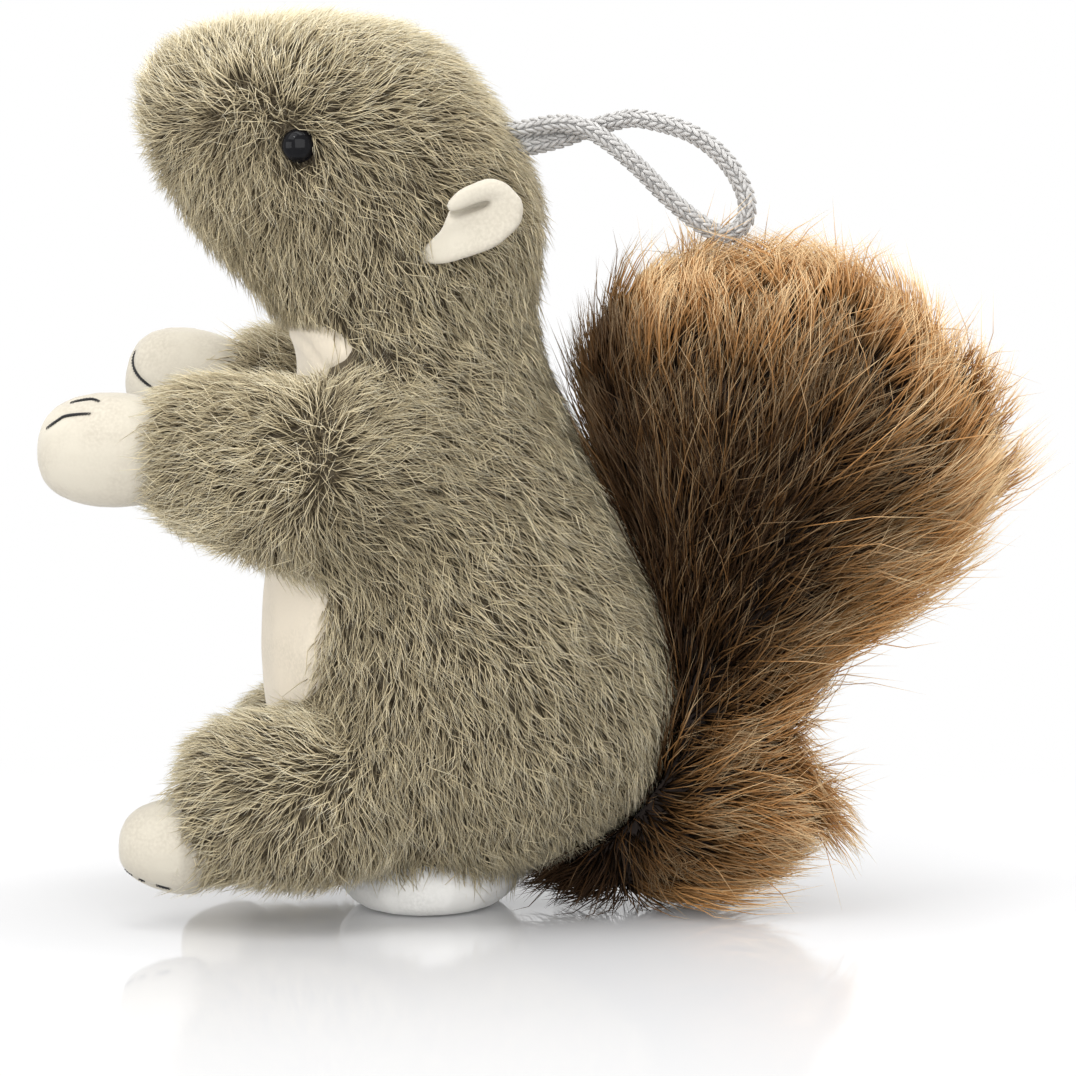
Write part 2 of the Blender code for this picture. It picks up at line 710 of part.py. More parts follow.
def make_hang_loop(head):
    """A braided cord loop whose two ends are caught in the seam at the back of the head."""
    points = spline_points(CORD_ROUTE, CORD_DIAMETER * CORD_STEP)
    curve = bpy.data.curves.new("hang_loop", "CURVE")
    curve.dimensions = "3D"
    curve.bevel_depth = CORD_DIAMETER / 2
    curve.bevel_resolution = 2
    curve.use_fill_caps = True
    spline = curve.splines.new("POLY")
    spline.points.add(len(points) - 1)
    for item, point in zip(spline.points, points):
        item.co = (*point, 1.0)
    loop = bpy.data.objects.new("hang_loop", curve)
    PARTS.objects.link(loop)
    curve.materials.append(CORD)
    for number, (end, inner) in enumerate(((points[0], points[1]), (points[-1], points[-2]))):
        outward = (inner - end).normalized()
        radius = CORD_DIAMETER / 2 + SEAM_GAP
        hole = add_turned(
            f"cord_hole_{number}",
            [(0.0, CLEAR), (radius, CLEAR), (radius, -SEAM_GAP), (0.0, -SEAM_GAP)],
            steps=CORD_HOLE_STEPS,
        )
        place(hole, end, outward)
        trim(head, hole)


head_plush, torso_plush = make_skins()
stuffing = filling_form("stuffing", FILLING, grow=-SEAM_GAP)
make_eyes(head_plush, stuffing)
make_ears()
make_arms()
make_legs()
make_tail()
make_squeaker(stuffing)
make_hang_loop(head_plush)
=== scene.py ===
import math

import bmesh
import bpy
import numpy as np
from mathutils import Matrix, Vector
from mathutils.bvhtree import BVHTree
from mathutils.geometry import intersect_point_line
from mathutils.kdtree import KDTree


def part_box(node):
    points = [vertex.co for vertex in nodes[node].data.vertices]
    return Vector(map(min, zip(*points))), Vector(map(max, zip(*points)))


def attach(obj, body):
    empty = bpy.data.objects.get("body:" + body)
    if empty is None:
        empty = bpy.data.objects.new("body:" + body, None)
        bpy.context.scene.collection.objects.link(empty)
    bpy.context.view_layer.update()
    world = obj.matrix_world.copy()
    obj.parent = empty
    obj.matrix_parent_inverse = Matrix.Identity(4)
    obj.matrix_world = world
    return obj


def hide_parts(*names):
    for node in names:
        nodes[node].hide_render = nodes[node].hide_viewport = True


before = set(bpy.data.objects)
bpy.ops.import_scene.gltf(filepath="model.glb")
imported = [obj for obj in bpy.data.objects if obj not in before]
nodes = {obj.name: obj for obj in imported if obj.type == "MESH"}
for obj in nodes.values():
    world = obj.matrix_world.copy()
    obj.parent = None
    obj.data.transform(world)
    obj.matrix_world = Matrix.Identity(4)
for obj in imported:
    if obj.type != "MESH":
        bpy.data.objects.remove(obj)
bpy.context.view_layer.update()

mm = 0.001
print("frame loaded,", len(nodes), "nodes")


# camera

cameraSettings = {
    "azimuth": 96.0,
    "elevation": 5.0,
    "distance": 0.750,
    "target": (0.0, -0.0001, 0.0741),
    "frameWidth": 0.2152,      # what the square picture spans at the target
    "sensorWidth": 36.0,
}


def makeCamera(settings):
    azimuth = math.radians(settings["azimuth"])
    elevation = math.radians(settings["elevation"])
    toward = Vector((
        -math.sin(azimuth) * math.cos(elevation),
        math.cos(azimuth) * math.cos(elevation),
        -math.sin(elevation),
    ))
    data = bpy.data.cameras.new("camera")
    data.sensor_width = settings["sensorWidth"]
    data.lens = settings["sensorWidth"] * settings["distance"] / settings["frameWidth"]
    data.clip_start = 0.01
    data.clip_end = 20.0
    camera = bpy.data.objects.new("camera", data)
    camera.location = Vector(settings["target"]) - toward * settings["distance"]
    camera.rotation_euler = toward.to_track_quat("-Z", "Y").to_euler()
    bpy.context.scene.collection.objects.link(camera)
    bpy.context.scene.camera = camera


makeCamera(cameraSettings)
print("camera placed")


# small tools for every piece

def newPiece(name, mesh, material, stands=()):
    piece = bpy.data.objects.new(name, mesh)
    bpy.context.scene.collection.objects.link(piece)
    if material:
        mesh.materials.clear()
        mesh.materials.append(material)
    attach(piece, "root")
    if stands:
        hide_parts(*stands)
    return piece


def meshFrom(bm, name, smooth=True):
    mesh = bpy.data.meshes.new(name)
    bm.normal_update()
    bm.to_mesh(mesh)
    bm.free()
    if smooth:
        mesh.shade_smooth()
    return mesh


# a mesh with a list of modifiers baked in
def finishedMesh(mesh, modifiers):
    holder = bpy.data.objects.new("holder", mesh)
    bpy.context.scene.collection.objects.link(holder)
    for kind, values in modifiers:
        modifier = holder.modifiers.new(kind.lower(), kind)
        for key, value in values.items():
            setattr(modifier, key, value)
    graph = bpy.context.evaluated_depsgraph_get()
    result = bpy.data.meshes.new_from_object(holder.evaluated_get(graph))
    bpy.data.objects.remove(holder)
    return result


def treeOf(meshes):
    points = []
    faces = []
    for mesh in meshes:
        first = len(points)
        points.extend(vert.co.copy() for vert in mesh.vertices)
        faces.extend([first + index for index in face.vertices] for face in mesh.polygons)
    return BVHTree.FromPolygons(points, faces)


def nodeTree(*names):
    return treeOf([nodes[name].data for name in names])


# how far points lie outside a solid, below nought where they are inside it
def heightOver(tree, points, reach=40.0 * mm):
    heights = np.full(len(points), reach)
    for index, point in enumerate(points):
        place = Vector(point)
        spot, normal, _, gap = tree.find_nearest(place, reach)
        if spot is not None:
            inside = (place - spot).dot(normal) < -0.5 * gap
            heights[index] = -gap if inside else gap
    return heights


def dropInnerShells(bm):
    left = set(bm.verts)
    largest = []
    while left:
        found = [left.pop()]
        for vert in found:
            for edge in vert.link_edges:
                other = edge.other_vert(vert)
                if other in left:
                    left.remove(other)
                    found.append(other)
        if len(found) > len(largest):
            largest = found
    keep = set(largest)
    bmesh.ops.delete(bm, geom=[vert for vert in bm.verts if vert not in keep], context="VERTS")


def smoothVerts(bm, rounds, factor=0.5):
    for _ in range(rounds):
        bmesh.ops.smooth_vert(
            bm, verts=bm.verts, factor=factor, use_axis_x=True, use_axis_y=True, use_axis_z=True
        )


# the outside of some meshes melted into one closed form, drawn in by inset
def meltedForm(name, meshes, voxel, inset=0.0, rounds=3, polish=2):
    bm = bmesh.new()
    for mesh in meshes:
        bm.from_mesh(mesh)
    bmesh.ops.remove_doubles(bm, verts=bm.verts, dist=0.01 * mm)
    mesh = finishedMesh(meshFrom(bm, name), [("REMESH", {"mode": "VOXEL", "voxel_size": voxel})])
    bm = bmesh.new()
    bm.from_mesh(mesh)
    dropInnerShells(bm)
    for _ in range(rounds):
        smoothVerts(bm, polish)
        bm.normal_update()
        for vert in bm.verts:
            vert.co -= vert.normal * (inset / rounds)
    return meshFrom(bm, name)


# the same form with fewer faces
def lighter(mesh, ratio=0.5):
    return finishedMesh(mesh, [("DECIMATE", {"ratio": ratio})])


def dataOf(*names):
    return [nodes[name].data for name in names]


# shader groups

def groupSocket(group, name, kind, value=None, way="INPUT"):
    socket = group.interface.new_socket(name=name, in_out=way, socket_type=kind)
    if value is not None:
        socket.default_value = value
    return socket


def mixColour(tree, factor, first, second, blend="MIX"):
    mix = tree.nodes.new("ShaderNodeMix")
    mix.data_type = "RGBA"
    mix.blend_type = blend
    for socket, value in ((mix.inputs["Factor"], factor), (mix.inputs[6], first), (mix.inputs[7], second)):
        if isinstance(value, bpy.types.NodeSocket):
            tree.links.new(value, socket)
        else:
            socket.default_value = value
    return mix.outputs[2]


def ramped(tree, value, low, high):
    ramp = tree.nodes.new("ShaderNodeMapRange")
    ramp.interpolation_type = "SMOOTHSTEP"
    tree.links.new(value, ramp.inputs["Value"])
    for name, edge in (("From Min", low), ("From Max", high)):
        if isinstance(edge, bpy.types.NodeSocket):
            tree.links.new(edge, ramp.inputs[name])
        else:
            ramp.inputs[name].default_value = edge
    return ramp.outputs["Result"]


# colour of a hair from its map: across the map lies its tone, up the map its length from root to tip
def makePileGroup():
    group = bpy.data.node_groups.new("pileColour", "ShaderNodeTree")
    groupSocket(group, "Map", "NodeSocketVector")
    for name in ("Root", "Dark Middle", "Pale Middle", "Dark Tip", "Pale Tip"):
        groupSocket(group, name, "NodeSocketColor", (0.5, 0.5, 0.5, 1.0))
    for name, value in (("Root Ends", 0.4), ("Tip Starts", 0.6)):
        groupSocket(group, name, "NodeSocketFloat", value)
    groupSocket(group, "Color", "NodeSocketColor", way="OUTPUT")
    entry = group.nodes.new("NodeGroupInput")
    leave = group.nodes.new("NodeGroupOutput")
    parts = group.nodes.new("ShaderNodeSeparateXYZ")
    group.links.new(entry.outputs["Map"], parts.inputs[0])
    tone, along = parts.outputs["X"], parts.outputs["Y"]
    middle = mixColour(group, tone, entry.outputs["Dark Middle"], entry.outputs["Pale Middle"])
    tip = mixColour(group, tone, entry.outputs["Dark Tip"], entry.outputs["Pale Tip"])
    rooted = ramped(group, along, 0.0, entry.outputs["Root Ends"])
    tipped = ramped(group, along, entry.outputs["Tip Starts"], 1.0)
    shaft = mixColour(group, rooted, entry.outputs["Root"], middle)
    group.links.new(mixColour(group, tipped, shaft, tip), leave.inputs["Color"])
    return group


# soft mottling and a fine nap for cloth, fibre and backing
def makeClothGroup():
    group = bpy.data.node_groups.new("clothNap", "ShaderNodeTree")
    groupSocket(group, "Base", "NodeSocketColor", (0.8, 0.8, 0.8, 1.0))
    groupSocket(group, "Shade", "NodeSocketColor", (0.7, 0.7, 0.7, 1.0))
    groupSocket(group, "Nap Scale", "NodeSocketFloat", 1500.0)
    groupSocket(group, "Patch Scale", "NodeSocketFloat", 90.0)
    groupSocket(group, "Color", "NodeSocketColor", way="OUTPUT")
    groupSocket(group, "Height", "NodeSocketFloat", way="OUTPUT")
    entry = group.nodes.new("NodeGroupInput")
    leave = group.nodes.new("NodeGroupOutput")
    place = group.nodes.new("ShaderNodeTexCoord")
    nap = group.nodes.new("ShaderNodeTexNoise")
    nap.inputs["Detail"].default_value = 3.0
    patch = group.nodes.new("ShaderNodeTexNoise")
    patch.inputs["Detail"].default_value = 4.0
    for noise, scale in ((nap, "Nap Scale"), (patch, "Patch Scale")):
        group.links.new(place.outputs["Object"], noise.inputs["Vector"])
        group.links.new(entry.outputs[scale], noise.inputs["Scale"])
    napped = ramped(group, nap.outputs["Fac"], 0.3, 0.75)
    fine = mixColour(group, napped, entry.outputs["Shade"], entry.outputs["Base"])
    patchy = ramped(group, patch.outputs["Fac"], 0.35, 0.65)
    group.links.new(mixColour(group, patchy, fine, entry.outputs["Base"]), leave.inputs["Color"])
    group.links.new(nap.outputs["Fac"], leave.inputs["Height"])
    return group


pileGroup = makePileGroup()
clothGroup = makeClothGroup()


def plainMaterial(name, colour, roughness, constants=()):
    material = bpy.data.materials.new(name)
    material.use_nodes = True
    shader = material.node_tree.nodes["Principled BSDF"]
    shader.inputs["Base Color"].default_value = (*colour, 1.0)
    shader.inputs["Roughness"].default_value = roughness
    for socket, value in dict(constants).items():
        shader.inputs[socket].default_value = value
    return material


def pileMaterial(name, colours, rootEnds, tipStarts, roughness, constants=()):
    material = plainMaterial(name, colours["Pale Middle"], roughness, constants)
    tree = material.node_tree
    group = tree.nodes.new("ShaderNodeGroup")
    group.node_tree = pileGroup
    for socket, colour in colours.items():
        group.inputs[socket].default_value = (*colour, 1.0)
    group.inputs["Root Ends"].default_value = rootEnds
    group.inputs["Tip Starts"].default_value = tipStarts
    uv = tree.nodes.new("ShaderNodeUVMap")
    uv.uv_map = "pileMap"
    tree.links.new(uv.outputs["UV"], group.inputs["Map"])
    tree.links.new(group.outputs["Color"], tree.nodes["Principled BSDF"].inputs["Base Color"])
    return material


def clothMaterial(
    name, base, shade, roughness, napScale=1500.0, patchScale=90.0, bump=0.3, depth=0.1, constants=()
):
    material = plainMaterial(name, base, roughness, constants)
    tree = material.node_tree
    shader = tree.nodes["Principled BSDF"]
    group = tree.nodes.new("ShaderNodeGroup")
    group.node_tree = clothGroup
    group.inputs["Base"].default_value = (*base, 1.0)
    group.inputs["Shade"].default_value = (*shade, 1.0)
    group.inputs["Nap Scale"].default_value = napScale
    group.inputs["Patch Scale"].default_value = patchScale
    tree.links.new(group.outputs["Color"], shader.inputs["Base Color"])
    relief = tree.nodes.new("ShaderNodeBump")
    relief.inputs["Strength"].default_value = bump
    relief.inputs["Distance"].default_value = depth * mm
    tree.links.new(group.outputs["Height"], relief.inputs["Height"])
    tree.links.new(relief.outputs["Normal"], shader.inputs["Normal"])
    return material


plushPile = pileMaterial(
    "greyBrownPile",
    {
        "Root": (0.12, 0.092, 0.053),
        "Dark Middle": (0.34, 0.28, 0.168),
        "Pale Middle": (0.70, 0.60, 0.39),
        "Dark Tip": (0.64, 0.55, 0.36),
        "Pale Tip": (1.0, 0.94, 0.74),
    },
    rootEnds=0.65, tipStarts=0.5, roughness=0.5, constants={"Specular IOR Level": 0.35},
)
tailPile = pileMaterial(
    "brownLongPile",
    {
        "Root": (0.004, 0.002, 0.001),
        "Dark Middle": (0.011, 0.0045, 0.002),
        "Pale Middle": (0.46, 0.235, 0.085),
        "Dark Tip": (0.036, 0.016, 0.007),
        "Pale Tip": (1.0, 0.76, 0.45),
    },
    rootEnds=0.5, tipStarts=0.5, roughness=0.5, constants={"Specular IOR Level": 0.08},
)
# the plush's backing: a dark brown cloth, darkened further as painted shade where it shows between the hairs
plushBackingWithPaintedShade = clothMaterial("plushBackingWithPaintedShade", (0.085, 0.066, 0.04), (0.05, 0.038, 0.023), 0.95)
tailBacking = clothMaterial("tailBacking", (0.014, 0.007, 0.004), (0.008, 0.004, 0.002), 0.95)
velour = clothMaterial(
    "creamVelour", (0.505, 0.468, 0.39), (0.44, 0.40, 0.33), 0.9,
    constants={"Sheen Weight": 0.3, "Sheen Roughness": 0.4, "Specular IOR Level": 0.2},
)
# the belly's velour: its warmer tint is the cloth's own, and its extra brightness over the paws' velour is
# painted light against the shade under the arms
bellyVelourWithPaintedLight = clothMaterial(
    "warmBellyVelourWithPaintedLight", (0.66, 0.59, 0.48), (0.57, 0.51, 0.41), 0.9,
    constants={"Sheen Weight": 0.3, "Sheen Roughness": 0.4, "Specular IOR Level": 0.2},
)
seatVelour = clothMaterial(
    "paleSeatVelour", (0.76, 0.75, 0.72), (0.64, 0.63, 0.60), 0.8,
    constants={"Sheen Weight": 0.3, "Sheen Roughness": 0.4, "Specular IOR Level": 0.3},
)
eyePlastic = clothMaterial(
    "blackEyePlastic", (0.003, 0.003, 0.004), (0.006, 0.006, 0.007), 0.06, napScale=400.0, bump=0.02,
    constants={"Specular IOR Level": 0.12},
)
threadBlack = clothMaterial(
    "blackThread", (0.012, 0.012, 0.014), (0.004, 0.004, 0.005), 0.7, napScale=4000.0
)
cordYarn = clothMaterial(
    "greyCordYarn", (0.46, 0.45, 0.435), (0.26, 0.25, 0.24), 0.5, napScale=3500.0, patchScale=700.0,
    constants={"Sheen Weight": 0.2, "Sheen Roughness": 0.4},
)
fibreFilling = clothMaterial(
    "whiteFibreFilling", (0.85, 0.85, 0.85), (0.70, 0.70, 0.70), 1.0, napScale=900.0
)
innerPlastic = clothMaterial(
    "whiteInnerPlastic", (0.78, 0.78, 0.76), (0.72, 0.72, 0.70), 0.4, napScale=300.0, bump=0.05
)
print("materials made")


# hairs: one template, laid along a path from each root

def makeHairTemplate(cuts, swell):
    bm = bmesh.new()
    bmesh.ops.create_cone(bm, cap_ends=True, segments=3, radius1=1.0, radius2=0.0, depth=1.0)
    bmesh.ops.translate(bm, vec=(0.0, 0.0, 0.5), verts=bm.verts)
    bmesh.ops.remove_doubles(bm, verts=bm.verts, dist=0.000001)
    for cut in cuts:
        everything = bm.verts[:] + bm.edges[:] + bm.faces[:]
        bmesh.ops.bisect_plane(bm, geom=everything, plane_co=(0.0, 0.0, cut), plane_no=(0.0, 0.0, 1.0))
    bmesh.ops.recalc_face_normals(bm, faces=bm.faces)
    bm.verts.index_update()
    levels = [0.0, *cuts, 1.0]
    ring = []
    across = []
    for vert in bm.verts:
        level = int(np.argmin([abs(vert.co.z - height) for height in levels]))
        ring.append(level)
        across.append(Vector(vert.co.xy).normalized() if level < len(levels) - 1 else Vector((0.0, 0.0)))
    faces = [[vert.index for vert in face.verts] for face in bm.faces]
    template = {
        "levels": np.array(levels),
        "swell": np.array(swell),
        "ring": np.array(ring),
        "across": np.array(across),
        "faces": faces,
    }
    bm.free()
    return template


underHair = makeHairTemplate((), (1.0, 0.0))
shortHair = makeHairTemplate((0.45,), (1.0, 0.85, 0.0))
longHair = makeHairTemplate((0.3, 0.65), (1.0, 1.0, 0.75, 0.0))
mapWidth = 0.004      # how far the sides of a hair lie from its tone on its map


def unit(vectors):
    return vectors / (np.linalg.norm(vectors, axis=1, keepdims=True) + 1e-12)


# paths: hairs x levels x 3, leans: which way is up for each hair
def makeHairPiece(name, paths, leans, radii, tones, template, material, stands=()):
    count = len(paths)
    along = paths[:, -1] - paths[:, 0]
    wide = unit(np.cross(along, leans))
    thick = unit(np.cross(wide, along))
    pointCount = len(template["ring"])
    points = np.empty((count, pointCount, 3))
    for index, (level, (x, y)) in enumerate(zip(template["ring"], template["across"])):
        reach = (radii * template["swell"][level])[:, None]
        points[:, index] = paths[:, level] + (wide * x + thick * y) * reach
    corners = np.array([index for face in template["faces"] for index in face])
    starts = np.cumsum([0] + [len(face) for face in template["faces"][:-1]])
    cap = np.array([all(template["ring"][i] == 0 for i in face) for face in template["faces"] for _ in face])
    spread = np.round(template["across"][corners][:, 0])      # left, middle or right corner of the hair
    height = template["levels"][template["ring"][corners]]
    height = np.where(cap & (spread == 0), 0.03, height)
    tone = np.clip(tones, 0.02, 0.98)[:, None] + spread[None, :] * mapWidth
    uv = np.stack([tone, np.broadcast_to(height, tone.shape)], axis=2)
    offsets = np.arange(count)[:, None]
    mesh = bpy.data.meshes.new(name)
    mesh.vertices.add(count * pointCount)
    mesh.vertices.foreach_set("co", points.ravel())
    mesh.loops.add(count * len(corners))
    mesh.loops.foreach_set("vertex_index", (offsets * pointCount + corners[None, :]).ravel())
    mesh.polygons.add(count * len(starts))
    mesh.polygons.foreach_set("loop_start", (offsets * len(corners) + starts[None, :]).ravel())
    mesh.update(calc_edges=True)
    for mapName in ("OFBake", "pileMap"):
        layer = mesh.uv_layers.new(name=mapName)
        layer.data.foreach_set("uv", uv.ravel())
    mesh.shade_smooth()
    mesh.validate()
    piece = newPiece(name, mesh, material, stands)
    mesh.calc_loop_triangles()
    print(name, count, "hairs", len(mesh.loop_triangles), "triangles")
    return piece


def scatterRoots(mesh, perSquareMm, rng):
    mesh.calc_loop_triangles()
    places = np.empty(len(mesh.vertices) * 3)
    mesh.vertices.foreach_get("co", places)
    places = places.reshape(-1, 3)
    facing = np.empty(len(mesh.vertices) * 3)
    mesh.vertex_normals.foreach_get("vector", facing)
    facing = facing.reshape(-1, 3)
    corners = np.empty(len(mesh.loop_triangles) * 3, dtype=np.int32)
    mesh.loop_triangles.foreach_get("vertices", corners)
    corners = corners.reshape(-1, 3)
    a, b, c = (places[corners[:, index]] for index in range(3))
    areas = np.linalg.norm(np.cross(b - a, c - a), axis=1) / 2
    count = int(areas.sum() / mm**2 * perSquareMm)
    picks = rng.choice(len(corners), count, p=areas / areas.sum())
    first = np.sqrt(rng.random(count))[:, None]
    second = rng.random(count)[:, None]
    parts = (1 - first, first * (1 - second), first * second)
    roots = sum(part * places[corners[picks, index]] for index, part in enumerate(parts))
    normals = sum(part * facing[corners[picks, index]] for index, part in enumerate(parts))
    normals /= np.linalg.norm(normals, axis=1, keepdims=True)
    return roots, normals


# which way hairs lie, from comb strokes: each is a place in mm, seen from the side, and an angle in degrees;
# the result is short where strokes disagree, as at a parting
def combFromStrokes(points, strokes, offset=(0.0, 0.0), closeness=2.4):
    total = np.zeros((len(points), 2))
    weights = np.zeros((len(points), 1))
    for y, z, angle in strokes:
        gap = np.hypot(points[:, 1] / mm - y - offset[0], points[:, 2] / mm - z - offset[1]) + 1.0
        weight = (gap ** -closeness)[:, None]
        turn = math.radians(angle)
        total += weight * np.array([[math.cos(turn), math.sin(turn)]])
        weights += weight
    return np.concatenate([np.zeros((len(points), 1)), total / weights], axis=1)


def turned(comb, angles):
    y = comb[:, 1] * np.cos(angles) - comb[:, 2] * np.sin(angles)
    z = comb[:, 1] * np.sin(angles) + comb[:, 2] * np.cos(angles)
    return np.stack([comb[:, 0], y, z], axis=1)


# paths of the hairs: each leaves its root at a steep lift and lies flatter towards its tip
def layHairs(roots, normals, comb, levels, settings, rng):
    count = len(roots)
    agree = np.linalg.norm(comb, axis=1, keepdims=True)
    facing = (comb * normals).sum(axis=1, keepdims=True)
    flat = comb - normals * facing
    lean = np.linalg.norm(flat, axis=1, keepdims=True)
    flat = flat / (lean + 1e-6)
    side = np.cross(normals, flat)
    stray = (rng.random((count, 1)) < settings["strays"]) * 1.0
    spread = math.radians(settings["scatter"]) * (1.0 + 4.0 * (1.0 - agree) ** 2 + 1.2 * stray)
    turn = rng.normal(0.0, 1.0, (count, 1)) * spread
    turn += rng.uniform(-math.pi, math.pi, (count, 1)) * np.clip(2.2 - 4.0 * agree, 0.0, 1.0)
    way = flat * np.cos(turn) + side * np.sin(turn)
    lengths = settings["length"] * (1.0 + settings["lengthVaries"] * rng.uniform(-1.0, 1.0, count))
    lengths *= 1.0 + 0.25 * stray[:, 0]
    wobble = rng.normal(0.0, math.radians(settings["liftVaries"]), (count, 1))
    standing = (1.0 - np.clip(lean / (agree + 1e-6) * 1.3, 0.0, 1.0)) * settings["standing"]
    bend = rng.normal(0.0, settings["curl"], (count, 1))
    path = [roots]
    for index, (low, high) in enumerate(zip(levels, levels[1:])):
        lift = np.clip(math.radians(settings["lifts"][index]) + wobble + standing, 0.02, 1.4)
        way = unit(way + side * bend * (index + 0.5))
        step = (way * np.cos(lift) + normals * np.sin(lift)) * lengths[:, None] * (high - low)
        path.append(path[-1] + step)
    return np.stack(path, axis=1), stray[:, 0] > 0


# hairs whose tips pass the allowed height over a solid are cut back
def cutBack(paths, tree, allowed, shortest=0.3):
    over = heightOver(tree, paths[:, -1]) - allowed
    lengths = np.linalg.norm(paths[:, -1] - paths[:, 0], axis=1)
    kept = np.clip(1.0 - np.clip(over, 0.0, None) / lengths, shortest, 1.0)
    return paths[:, :1] + (paths - paths[:, :1]) * kept[:, None, None]


def nearestOf(roots, chosen):
    tree = KDTree(len(chosen))
    for index, number in enumerate(chosen):
        tree.insert(Vector(roots[number]), index)
    tree.balance()
    return np.array([tree.find(Vector(root))[1] for root in roots])


# hairs near each other lean together into little tufts
def gatherTufts(paths, levels, leaders, pull, rng):
    strength = pull * rng.uniform(0.3, 1.0, len(paths))[:, None]
    gathered = paths.copy()
    rootShift = paths[leaders, 0] - paths[:, 0]
    for index, level in enumerate(levels):
        shift = paths[leaders, index] - paths[:, index]
        gathered[:, index] += (shift - rootShift * 0.3) * strength * level ** 1.5
    return gathered


def plainTufts(roots, tuft, rng):
    chosen = rng.choice(len(roots), max(1, len(roots) // tuft), replace=False)
    return chosen[nearestOf(roots, chosen)]


# nothing goes through the floor
def keepAboveFloor(paths, lowest=0.3 * mm):
    paths[:, :, 2] = np.maximum(paths[:, :, 2], lowest)
    return paths


# plush: one backing under head, torso, arms and legs, with hairs of two lengths on it

bodyNodes = ("head_plush", "torso_plush", "belly_panel", "seat_base", "stuffing")
limbEnds = {
    "arm_left": "paw_left", "arm_right": "paw_right", "leg_left": "foot_left", "leg_right": "foot_right",
}
bodyOutline = meltedForm("body_outline", dataOf(*bodyNodes), 2.0 * mm, rounds=1, polish=1)
bodyTree = treeOf([bodyOutline])
trees = {
    name: nodeTree(name) for name in (*limbEnds, *limbEnds.values(), "tail", "ear_left", "ear_right")
}
trees["plush"] = nodeTree("head_plush", "torso_plush")
trees["belly"] = nodeTree("belly_panel")
trees["seat"] = nodeTree("seat_base")

underPile = {
    "perSquareMm": 1.35,
    "length": 6.4 * mm,
    "lengthVaries": 0.3,
    "lifts": (27.0,),
    "liftVaries": 10.0,
    "standing": 0.8,
    "scatter": 22.0,
    "strays": 0.0,
    "curl": 0.0,
    "radius": 0.165 * mm,
    "tuft": 6,
    "pull": 0.35,
    "template": underHair,
    "tone": 0.28,
    "toneVaries": 0.12,
}
overPile = {
    "perSquareMm": 0.84,
    "length": 9.2 * mm,
    "lengthVaries": 0.25,
    "lifts": (31.0, 9.0),
    "liftVaries": 7.0,
    "standing": 0.8,
    "scatter": 16.0,
    "strays": 0.16,
    "curl": 0.32,
    "radius": 0.12 * mm,
    "tuft": 7,
    "pull": 0.6,
    "template": shortHair,
    "tone": 0.7,
    "toneVaries": 0.3,
}
plushSettings = {
    "inset": 3.0 * mm,
    "voxel": 1.9 * mm,
    "rise": (-0.2 * mm, 2.5 * mm),   # how far over the solids the tips end
    "neck": 119.0,
    "blend": 5.0 * mm,               # how far the lie of the pile changes over from body to limb
    "shoulderFrom": -42.0,           # behind this the arms melt into the torso
    "shoulderTo": -28.0,
    "bib": (-46.0, 112.0, 12.3, 4.8),    # oval of bare velour at the throat, seen from the side
    "toes": (-66.2, 24.5, 0.08),      # the feet are bare in front of a line: its place, height and slant
    "thinning": 0.72,                # share of the roots kept where strokes agree
    "backingFaces": 0.3,             # share of its faces that the backing keeps once the hairs stand on it
    "shoulderNear": (8.0, 14.0),     # the smoothing fades where arm and body are this far apart
    "shoulderLevels": 16,
    "limbMargin": 0.4 * mm,          # fur grows this far over the edge of paws and feet
    "buriedEar": -17.5,              # in front of this hairs may cross the ear's tip
}
# how high over bare pieces a hair's tip must be, in mm, and the share of the lower ones that go
bareLimits = {
    "belly": (0.6, 0.7), "seat": (0.8, 0.3),
    "paw_left": (1.2, 0.75), "paw_right": (1.2, 0.75), "foot_left": (1.2, 0.75), "foot_right": (1.2, 0.75),
}
headStrokes = (
    (-73.0, 169.3, 128), (-60.8, 173.0, 98), (-47.0, 173.5, 65), (-35.9, 172.9, 48), (-25.0, 171.8, 30),
    (-16.8, 166.3, 15), (-11.3, 159.9, 8), (-6.9, 154.4, -8), (-75.9, 162.8, 155), (-69.2, 163.8, 140),
    (-60.9, 165.4, 112), (-52.5, 166.5, 80), (-41.5, 167.0, 50), (-30.5, 165.3, 30), (-22.3, 161.0, 14),
    (-14.0, 155.5, 2), (-75.9, 157.3, 175), (-66.5, 158.4, 165), (-58.1, 161.1, 140), (-47.0, 161.0, 45),
    (-38.8, 160.5, 15), (-33.3, 154.5, -15), (-25.0, 153.4, -8), (-16.8, 150.1, -8), (-8.6, 149.0, -12),
    (-73.8, 151.9, 205), (-65.9, 152.9, 235), (-58.2, 153.5, -95), (-52.6, 154.5, -88),
    (-47.1, 145.8, -85), (-40.5, 151.8, -45), (-36.1, 148.0, -52), (-30.6, 144.7, -55),
    (-25.1, 142.6, -58), (-19.6, 141.5, -65), (-16.8, 145.8, -35), (-69.4, 143.7, -110),
    (-61.0, 143.7, -100), (-52.7, 140.9, -92), (-38.9, 138.2, -82), (-30.6, 134.9, -70),
    (-63.9, 132.7, -105), (-55.6, 128.9, -95), (-46.1, 127.3, -88), (-36.2, 126.2, -80),
    (-25.1, 130.0, -60), (-55.6, 121.8, -92), (-39.0, 119.1, -78), (-27.9, 121.9, -60),
    (-11.4, 121.9, -62), (-3.1, 124.6, -60), (0.7, 140.9, -75), (-0.4, 132.8, -72), (-19.6, 121.9, -60),
)
